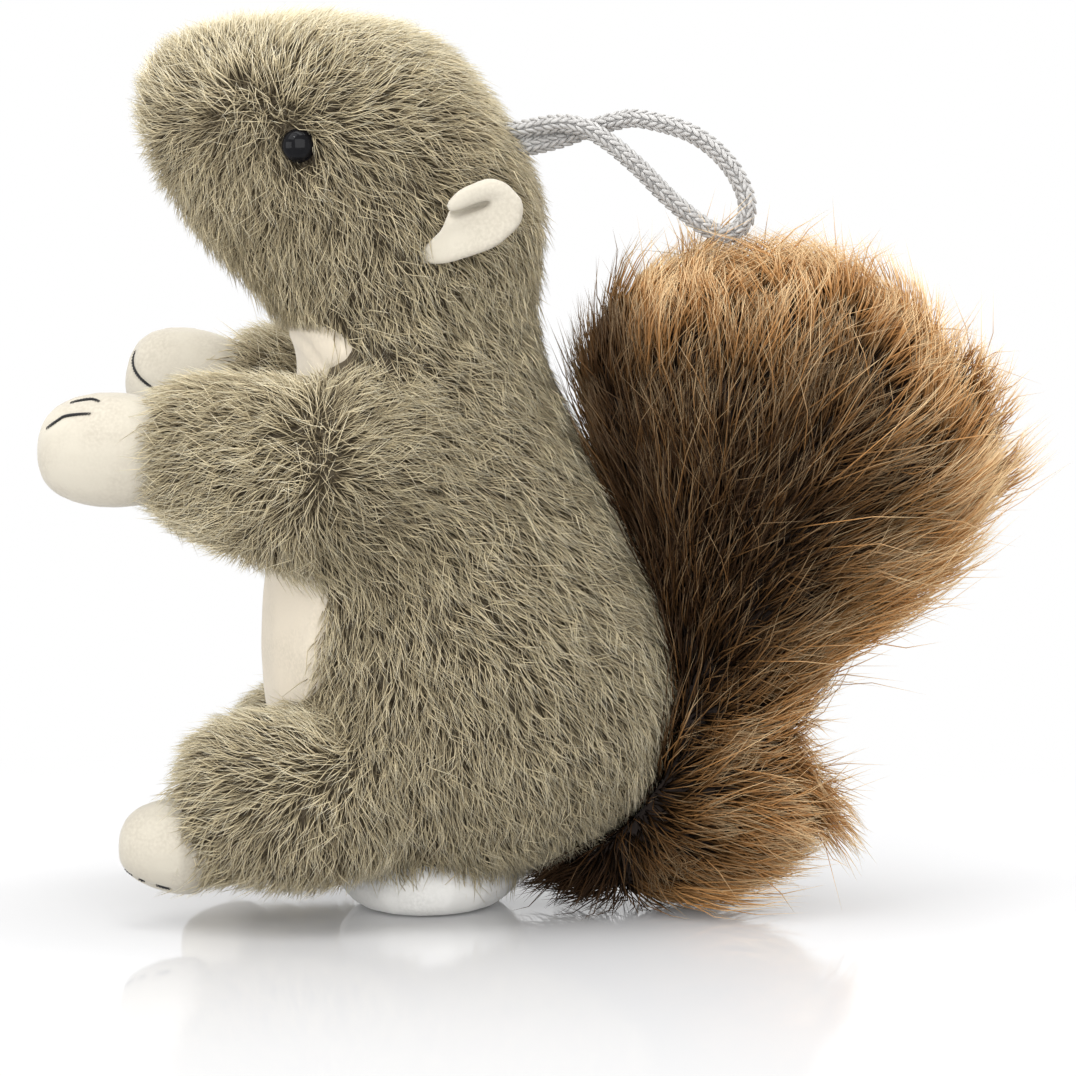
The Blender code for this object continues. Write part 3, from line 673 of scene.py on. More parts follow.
torsoStrokes = (
    (-18.4, 114.5, -40), (-4.8, 122.2, -60), (2.9, 116.5, -60), (-8.7, 106.8, -40), (2.9, 99.1, -40),
    (10.7, 91.5, -25), (18.4, 76.1, -20), (24.3, 64.5, -25), (29.1, 49.0, -30), (26.3, 31.4, -55),
    (14.6, 17.5, -60), (-1.0, 11.3, -70), (-18.7, 11.0, -85), (-8.7, 87.5, -30), (-16.6, 71.8, -55),
    (-28.4, 63.9, -70), (-36.3, 52.1, -95), (-20.6, 44.4, -85), (-1.0, 72.0, -50), (10.7, 54.6, -45),
    (-4.9, 48.6, -70), (10.7, 33.1, -60), (-8.8, 26.9, -80), (-44.0, 83.3, -90),
)
armStrokes = (
    (-68.7, 101.9, 165), (-61.3, 101.4, 165), (-53.9, 100.5, 160), (-47.5, 98.1, 155),
    (-66.3, 95.6, 180), (-58.9, 95.1, 185), (-51.5, 95.2, 180), (-44.6, 94.2, 185), (-68.8, 88.2, 205),
    (-61.4, 88.3, 205), (-54.0, 88.3, 205), (-46.6, 89.3, 215), (-42.6, 90.8, 215), (-68.9, 83.3, 225),
    (-61.5, 80.9, 235), (-54.0, 81.0, 240), (-49.1, 83.5, 240), (-64.0, 77.0, 240), (-56.6, 74.6, 255),
    (-49.1, 73.7, 265), (-42.7, 83.5, 250), (-44.2, 76.2, 268), (-51.4, 107.8, 165), (-46.5, 105.4, 160),
    (-41.6, 102.0, 140), (-35.7, 102.1, 60), (-29.3, 98.2, 25), (-24.4, 103.1, 40), (-34.2, 95.3, 30),
    (-31.8, 92.4, 12), (-24.4, 93.4, 8), (-29.4, 88.5, -8), (-22.0, 88.6, -6), (-34.3, 85.5, -30),
    (-29.4, 82.7, -25), (-22.0, 82.7, -20), (-35.3, 80.6, -48), (-26.9, 77.8, -35), (-36.8, 76.2, -65),
    (-31.9, 72.9, -60), (-24.5, 72.9, -45), (-39.3, 70.8, -82), (-22.1, 68.1, -60), (-31.9, 66.5, -75),
)
legStrokes = (
    (-56.4, 45.2, 125), (-50.4, 41.4, 150), (-44.9, 38.8, 155), (-39.5, 36.7, 150), (-64.6, 38.5, 150),
    (-64.7, 31.4, 175), (-61.9, 35.3, 165), (-56.4, 33.2, 168), (-48.2, 32.8, 172), (-64.7, 26.0, 195),
    (-59.2, 26.6, 205), (-53.7, 27.8, 205), (-48.3, 26.8, 215), (-62.0, 18.9, 215), (-56.5, 19.5, 225),
    (-59.3, 12.4, 225), (-51.1, 16.9, 240), (-45.6, 22.5, 235), (-45.6, 14.3, 255), (-37.4, 25.3, 265),
    (-40.1, 17.1, 265), (-34.7, 17.2, 270), (-53.9, 8.6, 235), (-42.9, 8.9, 265), (-31.9, 22.7, 280),
    (-29.2, 14.6, 275), (-26.5, 21.7, 280),
)
limbStrokes = {
    "arm_left": (armStrokes, (0.0, 0.0)),
    "arm_right": (armStrokes, (2.0, 6.0)),
    "leg_left": (legStrokes, (0.0, 0.0)),
    "leg_right": (legStrokes, (0.0, 0.0)),
}
eyeLow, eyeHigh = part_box("eye_left")
eyePlace = (np.array(eyeLow) + np.array(eyeHigh)) / 2 / mm
eyeBare = 3.1      # mm round each eye that no hair crosses
# middle, half width and half height in mm seen from the side, the height below which it ends, and how much
darkSpotsWithPaintedShade = (
    (eyePlace[1] - 6.0, eyePlace[2] + 4.0, 11.0, 7.9, 128.0, 0.32),
    (-50.0, 140.0, 22.0, 13.0, 128.0, 0.16),
    # painted shade on top of the arms against the lamp from above, partly their darker roots
    (-52.0, 104.0, 18.0, 8.0, 0.0, 0.4),
)
# the height where hairs begin to pale, where they are palest, and how much: painted light from above on the
# crown, and paler low on the flanks
paleHeightsWithPaintedLight = ((155.0, 175.0, 0.25), (80.0, 50.0, 0.08))


def share(values, low, high):
    return np.clip((values - low) / (high - low), 0.0, 1.0)


# below one inside the throat's oval
def bibReach(places):
    y, z, wide, high = plushSettings["bib"]
    return np.hypot((places[:, 1] / mm - y) / wide, (places[:, 2] / mm - z) / high)


# how far places lie in front of the line behind which fur covers the feet
def pastToes(places):
    y, z, slant = plushSettings["toes"]
    return y + (z - places[:, 2] / mm) * slant - places[:, 1] / mm


# hairs that hang over the throat's oval end at its upper edge
def trimAtBib(paths):
    y, z, wide, high = plushSettings["bib"]
    root, tip = paths[:, 0] / mm, paths[:, -1] / mm
    across = np.clip(np.abs(tip[:, 1] - y) / wide, 0.0, 1.0)
    edge = z + 0.72 * high * np.sqrt(1.0 - across**2)
    over = (bibReach(paths[:, -1]) < 0.95) & (root[:, 2] > edge)
    factor = np.where(over, np.clip((root[:, 2] - edge) / (root[:, 2] - tip[:, 2] + 1e-6), 0.35, 1.0), 1.0)
    return paths[:, :1] + (paths - paths[:, :1]) * factor[:, None, None]


# all stuffed parts as one form, the shoulders smoothed into the torso
def plushOutline(settings):
    form = meltedForm(
        "plush_outline", [bodyOutline, *dataOf(*limbEnds, *limbEnds.values())], settings["voxel"], rounds=1
    )
    bm = bmesh.new()
    bm.from_mesh(form)
    places = np.array([vert.co for vert in bm.verts])
    arms = [np.abs(heightOver(trees[name], places)) for name in ("arm_left", "arm_right")]
    near = np.maximum(np.minimum(*arms), np.abs(heightOver(bodyTree, places)))
    back = share(places[:, 1] / mm, settings["shoulderFrom"], settings["shoulderTo"])
    amount = back * (1.0 - share(near / mm, *settings["shoulderNear"]))
    bm.verts.ensure_lookup_table()
    for level in np.linspace(0.05, 0.95, settings["shoulderLevels"]):
        chosen = [bm.verts[index] for index in np.flatnonzero(amount > level)]
        for _ in range(3):
            bmesh.ops.smooth_vert(
                bm, verts=chosen, factor=0.5, use_axis_x=True, use_axis_y=True, use_axis_z=True
            )
    return meshFrom(bm, "plush_outline")


def combPlush(roots, gaps, settings):
    onHead = share(roots[:, 2] / mm, settings["neck"] - 4.0, settings["neck"] + 4.0)[:, None]
    comb = combFromStrokes(roots, headStrokes) * onHead
    comb += combFromStrokes(roots, torsoStrokes) * (1.0 - onHead)
    for node, (strokes, offset) in limbStrokes.items():
        onLimb = share(gaps["body"] - gaps[node], -settings["blend"], settings["blend"])[:, None]
        comb = comb * (1.0 - onLimb) + combFromStrokes(roots, strokes, offset) * onLimb
    return comb


# hairs that cross an eye, an ear or bare velour go
def clearHairs(paths, onBody, rng):
    gap = np.hypot(paths[:, :, 1] / mm - eyePlace[1], paths[:, :, 2] / mm - eyePlace[2]).min(axis=1)
    keep = gap > eyeBare
    for name in ("ear_left", "ear_right"):
        buried = paths[:, 0, 1] < plushSettings["buriedEar"] * mm
        keep &= (heightOver(trees[name], paths[:, -1], 10.0 * mm) > 0.8 * mm) | buried
        keep &= (heightOver(trees[name], paths[:, 0], 10.0 * mm) > 0.2 * mm) | buried
    for name, (height, dropped) in bareLimits.items():
        over = heightOver(trees[name], paths[:, -1], 10.0 * mm) < height * mm
        if name.startswith("foot"):
            over &= pastToes(paths[:, -1]) > 2.5
        keep &= ~(over & (rng.random(len(paths)) < dropped))
    keep &= ~(onBody & (bibReach(paths[:, -1]) < 0.6))
    return keep


# hairs are darker in a few spots, on top of the arms as painted shade, and paler on the crown, there as
# painted light from above, and low on the flanks
def pileTones(places, tone, strays, rng):
    y, z = places[:, 1] / mm, places[:, 2] / mm
    tones = np.full(len(places), tone)
    for middleY, middleZ, halfWidth, halfHeight, lowest, change in darkSpotsWithPaintedShade:
        gap = np.hypot((y - middleY) / halfWidth, (z - middleZ) / halfHeight)
        tones -= change * np.exp(-gap**2) * (z > lowest)
    for dull, pale, change in paleHeightsWithPaintedLight:
        tones += change * share(z, dull, pale)
    return tones + rng.normal(0.0, 0.3, len(places)) + 0.25 * strays


def makePlush(settings, rng):
    outline = plushOutline(settings)
    outlineTree = treeOf([outline])
    form = meltedForm("plush_backing", [outline], settings["voxel"], settings["inset"])
    newPiece("plush_backing", lighter(form, settings["backingFaces"]), plushBackingWithPaintedShade)
    for layer, pile in (("underfur", underPile), ("pile", overPile)):
        roots, normals = scatterRoots(form, pile["perSquareMm"] / settings["thinning"], rng)
        skin = roots + normals * settings["inset"]
        gaps = {name: np.abs(heightOver(tree, skin, 20.0 * mm)) for name, tree in trees.items()}
        gaps["body"] = gaps["plush"]
        for leg in ("leg_left", "leg_right"):
            bareToes = pastToes(skin) > 0.0
            gaps[leg] = np.where(bareToes, gaps[leg], np.minimum(gaps[leg], gaps[limbEnds[leg]]))
            gaps[limbEnds[leg]] = np.where(bareToes, gaps[limbEnds[leg]], 20.0 * mm)
        owners = ("body", *limbEnds)
        furry = np.stack([gaps[name] for name in owners])
        bare = np.minimum(gaps["belly"], gaps["seat"])
        for end in limbEnds.values():
            bare = np.minimum(bare, gaps[end] - settings["limbMargin"])
        keep = furry.min(axis=0) < bare
        keep &= heightOver(trees["tail"], skin, 12.0 * mm) > -2.5 * mm
        keep &= ~((bibReach(skin) < 1.0) & (furry.argmin(axis=0) == 0))
        comb = combPlush(roots, gaps, settings)
        agree = np.linalg.norm(comb, axis=1)
        keep &= rng.random(len(roots)) < settings["thinning"] + (1.0 - share(agree, 0.5, 0.9))
        owner = furry.argmin(axis=0)[keep]
        roots, normals, comb = roots[keep], normals[keep], comb[keep]
        levels = pile["template"]["levels"]
        paths, strays = layHairs(roots, normals, comb, levels, pile, rng)
        paths = cutBack(paths, outlineTree, rng.uniform(*settings["rise"], len(paths)))
        leaders = plainTufts(roots, pile["tuft"], rng)
        paths = gatherTufts(paths, levels, leaders, pile["pull"], rng)
        tuftTone = rng.normal(0.0, pile["toneVaries"], len(roots))[leaders]
        paths = np.where((owner == 0)[:, None, None], trimAtBib(paths), paths)
        keepAboveFloor(paths)
        keep = clearHairs(paths, owner == 0, rng)
        paths, normals, strays, owner = paths[keep], normals[keep], strays[keep], owner[keep]
        tones = np.clip(pileTones(paths[:, 0], pile["tone"], strays, rng) + tuftTone[keep], 0.0, 1.0)
        radii = pile["radius"] * rng.uniform(0.75, 1.25, len(paths))
        onBody = owner == 0
        left = paths[:, 0, 0] >= 0.0
        high = paths[:, 0, 2] / mm > settings["neck"]
        parts = [
            ("head", onBody & high, ["head_plush"]),
            ("torso_left", onBody & ~high & left, ["torso_plush"]),
            ("torso_right", onBody & ~high & ~left, []),
        ]
        parts += [(node, owner == number + 1, [node]) for number, node in enumerate(limbEnds)]
        for part, chosen, stands in parts:
            makeHairPiece(
                f"{part}_{layer}", paths[chosen], normals[chosen], radii[chosen], tones[chosen],
                pile["template"], plushPile, stands,
            )


makePlush(plushSettings, np.random.default_rng(11))


# tail

tailUnder = {
    "perSquareMm": 0.85,
    "length": 17.0 * mm,
    "lengthVaries": 0.35,
    "lifts": (24.0, 9.0),
    "liftVaries": 9.0,
    "standing": 0.3,
    "scatter": 16.0,
    "strays": 0.0,
    "curl": 0.15,
    "radius": 0.18 * mm,
    "pull": 0.5,
    "template": shortHair,
}
tailOver = {
    "perSquareMm": 0.62,
    "length": 28.0 * mm,
    "lengthVaries": 0.3,
    "lifts": (25.0, 9.0, 0.0),
    "liftVaries": 7.0,
    "standing": 0.2,
    "scatter": 7.5,
    "strays": 0.08,
    "curl": 0.1,
    "radius": 0.135 * mm,
    "pull": 0.72,
    "template": longHair,
}
tailSettings = {
    "inset": 5.2 * mm,
    "bodyGap": 7.0 * mm,      # nearer to the body than this the core fills the gap
    "tuftGap": 22,            # hairs to a tuft
    "tuftTurn": 10.0,
    "tuftRise": (-6.0, 17.0, 2.0),   # least, range and power of how far tufts pass the solid
    "backingFaces": 0.35,
    "coreShare": 0.15,        # next to the body the core is drawn in by this share only
    "lowest": 0.5 * mm,
}
tailToneSettings = {
    "fade": 12.0,                 # mm from the pale rim to the dark core
    "frontFade": 3.0,             # the front rim is so much narrower
    "freeFrom": 84.0,             # between these heights the front edge comes away from the body
    "freeTo": 100.0,
    "noRim": 0.04,                # what stands for the distance to the rim where there is none
    "average": 0.03,
    "varies": 0.12,
    "strays": 0.2,
    "lowFrom": 25.0,              # between these heights the tail turns from dull to full contrast
    "lowTo": 55.0,
    "lowContrast": 0.15,
    "lowTone": 0.2,
    "frontFrom": 14.0,            # the part next to the body is dark, more so up high
    "frontTo": 36.0,
    "frontLower": 8.0,
    "frontTone": 0.15,
}
tailStrokes = (
    (11.4, 121.9, 105), (13.4, 106.3, 100), (21.2, 129.7, 100), (32.9, 131.7, 93), (44.5, 129.8, 88),
    (58.1, 125.9, 83), (69.7, 122.1, 78), (79.5, 114.4, 62), (87.2, 104.7, 45), (91.2, 95.0, 25),
    (93.2, 85.3, 0), (87.5, 75.6, -15), (77.9, 67.6, -20), (70.3, 57.8, -30), (62.5, 49.8, -30),
    (21.2, 92.6, 95), (23.3, 73.0, 88), (29.2, 53.3, 75), (33.0, 102.5, 85), (37.0, 82.9, 70),
    (39.0, 63.3, 55), (45.0, 43.6, 35), (48.5, 116.2, 80), (50.5, 96.7, 65), (52.6, 79.2, 45),
    (56.6, 63.5, 25), (64.2, 87.1, 35), (68.0, 102.7, 55), (72.1, 75.4, 10), (31.2, 35.5, 20),
    (45.0, 31.8, 5), (56.8, 28.0, -5), (33.3, 19.6, -5), (49.1, 13.9, -20), (23.4, 7.5, -10),
    (3.0, 4.0, 190), (11.5, 6.3, 200), (17.5, 13.4, -70), (37.3, 5.7, -15),
)


# edges of the tail seen from the side: lowest and highest Y at each height
def tailEdges():
    mesh = nodes["tail"].data
    points = np.empty(len(mesh.vertices) * 3)
    mesh.vertices.foreach_get("co", points)
    points = points.reshape(-1, 3)
    heights = np.linspace(0.0, points[:, 2].max(), 40)
    near = [points[np.abs(points[:, 2] - height) < 4.0 * mm, 1] for height in heights]
    return heights, np.array([y.min() for y in near]), np.array([y.max() for y in near])


# pale at the rim, dark in the core and next to the body
def tailTones(tips, strays, settings, rng):
    y, z = tips[:, 1], tips[:, 2]
    heights, front, back = tailEdges()
    toBack = np.interp(z, heights, back) - y
    toFront = y - np.interp(z, heights, front)
    toTop = heights[-1] - z
    free = share(z / mm, settings["freeFrom"], settings["freeTo"])
    toFront = toFront * settings["frontFade"] + (1.0 - free) * settings["noRim"]
    rim = np.minimum(np.minimum(toBack, toTop), toFront) / mm
    tones = np.exp(-np.clip(rim, 0.0, None) / settings["fade"])
    tones += rng.normal(settings["average"], settings["varies"], len(tips)) + settings["strays"] * strays
    low = share(z / mm, settings["lowFrom"], settings["lowTo"])
    tones = tones * (1.0 - settings["lowContrast"] * (1.0 - low)) + settings["lowTone"] * (1.0 - low)
    behind = share(y / mm, settings["frontFrom"], settings["frontTo"] - settings["frontLower"] * low)
    return np.clip(tones * (settings["frontTone"] + (1.0 - settings["frontTone"]) * behind), 0.0, 1.0)


def tailCore(settings):
    form = meltedForm("tail_backing", dataOf("tail"), 2.0 * mm, rounds=1)
    bm = bmesh.new()
    bm.from_mesh(form)
    places = np.array([vert.co for vert in bm.verts])
    amount = share(heightOver(bodyTree, places), 0.0, settings["bodyGap"])
    rounds = 4
    for _ in range(rounds):
        smoothVerts(bm, 1)
        bm.normal_update()
        for vert, part in zip(bm.verts, amount):
            drawn = settings["coreShare"] + (1.0 - settings["coreShare"]) * part
            vert.co -= vert.normal * (settings["inset"] * drawn / rounds)
            vert.co.z = max(vert.co.z, settings["lowest"])
    return meshFrom(bm, "tail_backing")


def makeTail(settings, rng):
    form = tailCore(settings)
    newPiece("tail_backing", lighter(form, settings["backingFaces"]), tailBacking)
    tuftRoots, _ = scatterRoots(form, tailOver["perSquareMm"] / settings["tuftGap"], rng)
    tuftTurn = rng.normal(0.0, math.radians(settings["tuftTurn"]), len(tuftRoots))
    least, spread, power = settings["tuftRise"]
    tuftRise = (least + spread * rng.random(len(tuftRoots)) ** power) * mm
    tree = KDTree(len(tuftRoots))
    for index, root in enumerate(tuftRoots):
        tree.insert(Vector(root), index)
    tree.balance()
    for layer, pile in (("underfur", tailUnder), ("pile", tailOver)):
        roots, normals = scatterRoots(form, pile["perSquareMm"], rng)
        tuft = np.array([tree.find(Vector(root))[1] for root in roots])
        comb = turned(combFromStrokes(roots, tailStrokes), tuftTurn[tuft])
        levels = pile["template"]["levels"]
        paths, strays = layHairs(roots, normals, comb, levels, pile, rng)
        rise = tuftRise[tuft] + rng.uniform(-2.5, 1.0, len(roots)) * mm + 3.0 * mm * strays
        paths = cutBack(paths, trees["tail"], rise, 0.25)
        order = np.argsort(tuft, kind="stable")
        found, firsts = np.unique(tuft[order], return_index=True)
        leaderOf = np.zeros(len(tuftRoots), int)
        leaderOf[found] = order[firsts]
        gathered = gatherTufts(paths, levels, leaderOf[tuft], pile["pull"], rng)
        paths = np.where(strays[:, None, None], paths, gathered)
        keepAboveFloor(paths)
        keep = heightOver(bodyTree, paths[:, -1]) > -0.5 * mm
        keep &= heightOver(bodyTree, paths[:, 1]) > -1.5 * mm
        paths, normals, strays = paths[keep], normals[keep], strays[keep]
        tones = tailTones(paths[:, -1], strays, tailToneSettings, rng)
        radii = pile["radius"] * rng.uniform(0.7, 1.2, len(paths))
        for sideName, chosen, stands in (
            ("left", paths[:, 0, 0] >= 0.0, ["tail"]),
            ("right", paths[:, 0, 0] < 0.0, []),
        ):
            makeHairPiece(
                f"tail_{layer}_{sideName}", paths[chosen], normals[chosen], radii[chosen], tones[chosen],
                pile["template"], tailPile, stands,
            )


makeTail(tailSettings, np.random.default_rng(31))


# velour pieces

velourPieces = {
    "paw_left": {"voxel": 0.8 * mm, "grow": 0.9 * mm},
    "paw_right": {"voxel": 0.8 * mm, "grow": 0.5 * mm},
    "foot_left": {"voxel": 0.8 * mm, "grow": 0.3 * mm},
    "foot_right": {"voxel": 0.8 * mm, "grow": 0.3 * mm},
}
footSettings = {
    "liftFrom": -68.0,       # in front of this the sole rises
    "liftSlope": 0.19,
    "liftHeight": 14.0,      # and up to this height
    "sink": 3.0 * mm,        # how deep the heel lies under the fur
    "sinkOver": 4.0,         # and how far behind the toes it is as deep
}
stitchSettings = {
    "strand": 0.18 * mm,
    "twistRadius": 0.21 * mm,
    "twistLength": 1.2 * mm,
    "groove": 0.5 * mm,
    "grooveWidth": 0.9 * mm,
    "step": 0.2 * mm,
}
# stitched lines, in mm seen from the side, and the side of the piece that they lie on
stitchLines = {
    "paw_left": (
        (1, ((-92.3, 97.5), (-90.8, 98.5), (-89.3, 99.5), (-88.3, 100.0), (-86.0, 100.4), (-82.9, 100.6))),
        (1, ((-87.9, 102.5), (-86.4, 102.9), (-84.7, 103.2), (-83.2, 103.3), (-81.7, 102.9))),
    ),
    "paw_right": (
        (1, (
            (-87.4, 110.4), (-87.6, 108.4), (-86.9, 106.5), (-85.6, 104.9), (-84.0, 103.6), (-82.1, 102.4),
        )),
    ),
    "foot_left": (
        (1, ((-78.6, 12.0), (-77.4, 10.9), (-76.2, 10.1))),
        (1, ((-75.0, 9.6), (-73.6, 9.1))),
        (1, ((-71.2, 8.5), (-69.6, 8.1), (-68.4, 7.8))),
    ),
}
stitchLines["foot_right"] = [(-side, line) for side, line in stitchLines["foot_left"]]


# evenly spaced points on a smooth curve through the route
def smoothRoute(route, step):
    points = [np.array(point) for point in route]
    points = [2 * points[0] - points[1], *points, 2 * points[-1] - points[-2]]
    fine = []
    for a, b, c, d in zip(points, points[1:], points[2:], points[3:]):
        for t in np.linspace(0.0, 1.0, 30, endpoint=False):
            bow = (2 * a - 5 * b + 4 * c - d) * t**2 + (3 * b - a - 3 * c + d) * t**3
            fine.append(0.5 * (2 * b + (c - a) * t + bow))
    fine.append(points[-2])
    fine = np.array(fine)
    travelled = np.concatenate([[0.0], np.cumsum(np.linalg.norm(np.diff(fine, axis=0), axis=1))])
    stops = np.linspace(0.0, travelled[-1], int(travelled[-1] / step) + 1)
    places = np.stack([np.interp(stops, travelled, fine[:, axis]) for axis in range(fine.shape[1])], axis=1)
    return places, stops


# tubes along rows of points, as one mesh
def tubeMesh(name, lines, radius, sides, taper=False):
    curve = bpy.data.curves.new(name, "CURVE")
    curve.dimensions = "3D"
    curve.bevel_depth = radius
    curve.bevel_resolution = sides
    curve.use_fill_caps = True
    for line in lines:
        spline = curve.splines.new("POLY")
        spline.points.add(len(line) - 1)
        spline.points.foreach_set("co", np.concatenate([line, np.ones((len(line), 1))], axis=1).ravel())
        if taper:
            width = np.sin(np.linspace(0.12, math.pi - 0.12, len(line))) ** 0.4
            spline.points.foreach_set("radius", width)
    holder = bpy.data.objects.new("holder", curve)
    bpy.context.scene.collection.objects.link(holder)
    graph = bpy.context.evaluated_depsgraph_get()
    mesh = bpy.data.meshes.new_from_object(holder.evaluated_get(graph))
    bpy.data.objects.remove(holder)
    mesh.shade_smooth()
    return mesh


# a stitched line presses a groove into its piece, and a twisted thread lies in it
def makeStitch(name, mesh, side, line, settings):
    tree = treeOf([mesh])
    flat, _ = smoothRoute([(y * mm, z * mm) for y, z in line], settings["step"])
    places = []
    normals = []
    for y, z in flat:
        spot, normal, _, _ = tree.ray_cast(Vector((side * 0.2, y, z)), Vector((-side, 0.0, 0.0)))
        if spot is not None:
            places.append(spot)
            normals.append(normal)
    if len(places) < 3:
        return
    groove = KDTree(len(places))
    for index, place in enumerate(places):
        groove.insert(place, index)
    groove.balance()
    for vert, facing in zip(mesh.vertices, [vert.normal.copy() for vert in mesh.vertices]):
        _, _, gap = groove.find(vert.co)
        vert.co -= facing * settings["groove"] * math.exp(-((gap / settings["grooveWidth"]) ** 2))
    places = np.array(places)
    normals = np.array(normals)
    places -= normals * (settings["groove"] - settings["strand"])
    ways = unit(np.gradient(places, axis=0))
    across = unit(np.cross(ways, normals))
    turn = np.arange(len(places)) * settings["step"] / settings["twistLength"] * 2 * math.pi
    lines = []
    for start in (0.0, math.pi):
        offset = across * np.cos(turn + start)[:, None] + normals * np.sin(turn + start)[:, None]
        lines.append(places + offset * settings["twistRadius"])
    thread = tubeMesh(name, lines, settings["strand"], 1, taper=True)
    newPiece(name, thread, threadBlack)


# toes rise off the floor, and the foot's heel sinks under the fur
def shapeFoot(form, settings):
    places = np.array([vert.co for vert in form.vertices])
    normals = [vert.normal.copy() for vert in form.vertices]
    for vert, normal, behind in zip(form.vertices, normals, -pastToes(places)):
        vert.co -= normal * settings["sink"] * min(1.0, max(0.0, behind / settings["sinkOver"]))
        ahead = max(0.0, settings["liftFrom"] * mm - vert.co.y)
        low = max(0.0, 1.0 - vert.co.z / mm / settings["liftHeight"])
        vert.co.z += settings["liftSlope"] * ahead * low


def makeVelour():
    for node, values in velourPieces.items():
        form = meltedForm(f"{node}_velour", dataOf(node), values["voxel"], -values["grow"], rounds=2)
        if node.startswith("foot"):
            shapeFoot(form, footSettings)
        for number, (side, line) in enumerate(stitchLines[node]):
            makeStitch(f"{node}_stitch_{number + 1}", form, side, line, stitchSettings)
        piece = newPiece(f"{node}_velour", lighter(form), velour, [node])


makeVelour()
print("velour pieces made")


# belly and throat: the part of the body's outline without hair, its edges sunk under the hair beside it
def makeBelly(settings):
    bm = bmesh.new()
    bm.from_mesh(bodyOutline)
    bmesh.ops.subdivide_edges(bm, edges=bm.edges[:], cuts=1, use_grid_fill=True, smooth=1.0)
    smoothVerts(bm, 2)
    bm.normal_update()
    places = np.array([vert.co for vert in bm.verts])
    belly = (np.abs(heightOver(trees["belly"], places)) - np.abs(heightOver(trees["plush"], places))) / mm
    throat = bibReach(places)
    near, far = settings["sink"]
    bellySink = near + (far - near) * share(belly, -settings["tuck"], settings["tuck"])
    throatSink = settings["throatSink"] + (far - near) * share(throat, *settings["throatTuck"])
    for vert, depth in zip(bm.verts, np.minimum(bellySink, throatSink)):
        vert.co -= vert.normal * depth * mm
    bare = (belly < settings["tuck"]) | (throat < settings["throatTuck"][1])
    outside = [face for face in bm.faces if not any(bare[vert.index] for vert in face.verts)]
    bmesh.ops.delete(bm, geom=outside, context="FACES")
    bmesh.ops.solidify(bm, geom=bm.faces[:], thickness=settings["thickness"])
    bmesh.ops.recalc_face_normals(bm, faces=bm.faces)
    form = lighter(meshFrom(bm, "belly_velour"), settings["faces"])
    # belly and throat take the warmer velour, made lighter with painted light
    piece = newPiece("belly_velour", form, bellyVelourWithPaintedLight, ["belly_panel"])


makeBelly({
    "tuck": 2.0,                     # mm that the panel goes on under the fur beside it
    "sink": (0.4, 3.2),              # how deep it lies, in the open and at its edges
    "throatSink": 1.9,
    "throatTuck": (0.75, 1.2),       # where on the throat's oval it goes down
    "thickness": 1.0 * mm,
    "faces": 0.3,
})


# seat pad: flat underneath, with a sewn edge

def makeSeat(settings):
    form = meltedForm("seat_velour", dataOf("seat_base"), settings["voxel"], rounds=1)
    low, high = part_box("seat_base")
    middle = (low[1] + high[1]) / 2
    for vert in form.vertices:
        vert.co.z = max(vert.co.z, 0.0)
        rise = min(1.0, vert.co.z / settings["flareHeight"])
        vert.co.y = middle + (vert.co.y - middle) * (settings["foot"] + settings["flare"] * rise)
    piece = newPiece("seat_velour", lighter(form), seatVelour, ["seat_base"])


makeSeat({"voxel": 1.0 * mm, "foot": 0.96, "flare": 0.14, "flareHeight": 5.0 * mm})
print("belly and seat made")


# ears: a cupped leaf of velour whose upper edge is rolled over towards the front

earSettings = {
    "middle": (-9.0, 137.4),
    "outline": (
        (-22.8, 129.3), (-16.6, 129.0), (-11.5, 130.2), (-5.9, 132.2), (-2.6, 134.6), (-0.3, 137.3),
        (-0.1, 141.0), (-1.7, 143.1), (-3.5, 144.7), (-6.3, 145.5), (-9.1, 144.8), (-11.9, 143.2),
        (-13.8, 141.4), (-14.6, 139.6), (-16.1, 135.9), (-19.0, 133.2),
    ),
    "thickness": 1.5,
    "hollow": 1.3,
    "backThickness": 3.2,
    "slit": ((-13.8, 138.8), (-7.2, 141.0), 3.0, 0.8),     # from, to, depth, width: a cleft under the roll
    "reach": 27.3,           # how far from the middle of the toy the ear stands
    "tilt": 0.14,
    # the roll: place along the upper edge, and its radius
    "roll": (
        (-13.6, 140.2, 1.2), (-12.6, 140.9, 1.6), (-11.3, 141.7, 1.9), (-9.8, 142.4, 2.0),
        (-8.2, 142.9, 2.0), (-6.6, 143.1, 1.9), (-5.0, 142.9, 1.7), (-3.6, 142.2, 1.5),
    ),
    "rollRise": (1.9, -0.1),       # over the blade, from the front end of the roll to its back end
    "tuckFrom": -14.0,
    "tuck": 0.6,             # in front of that place the tip turns in towards the head
    "farShift": -1.8,
    "voxel": 0.42 * mm,
}


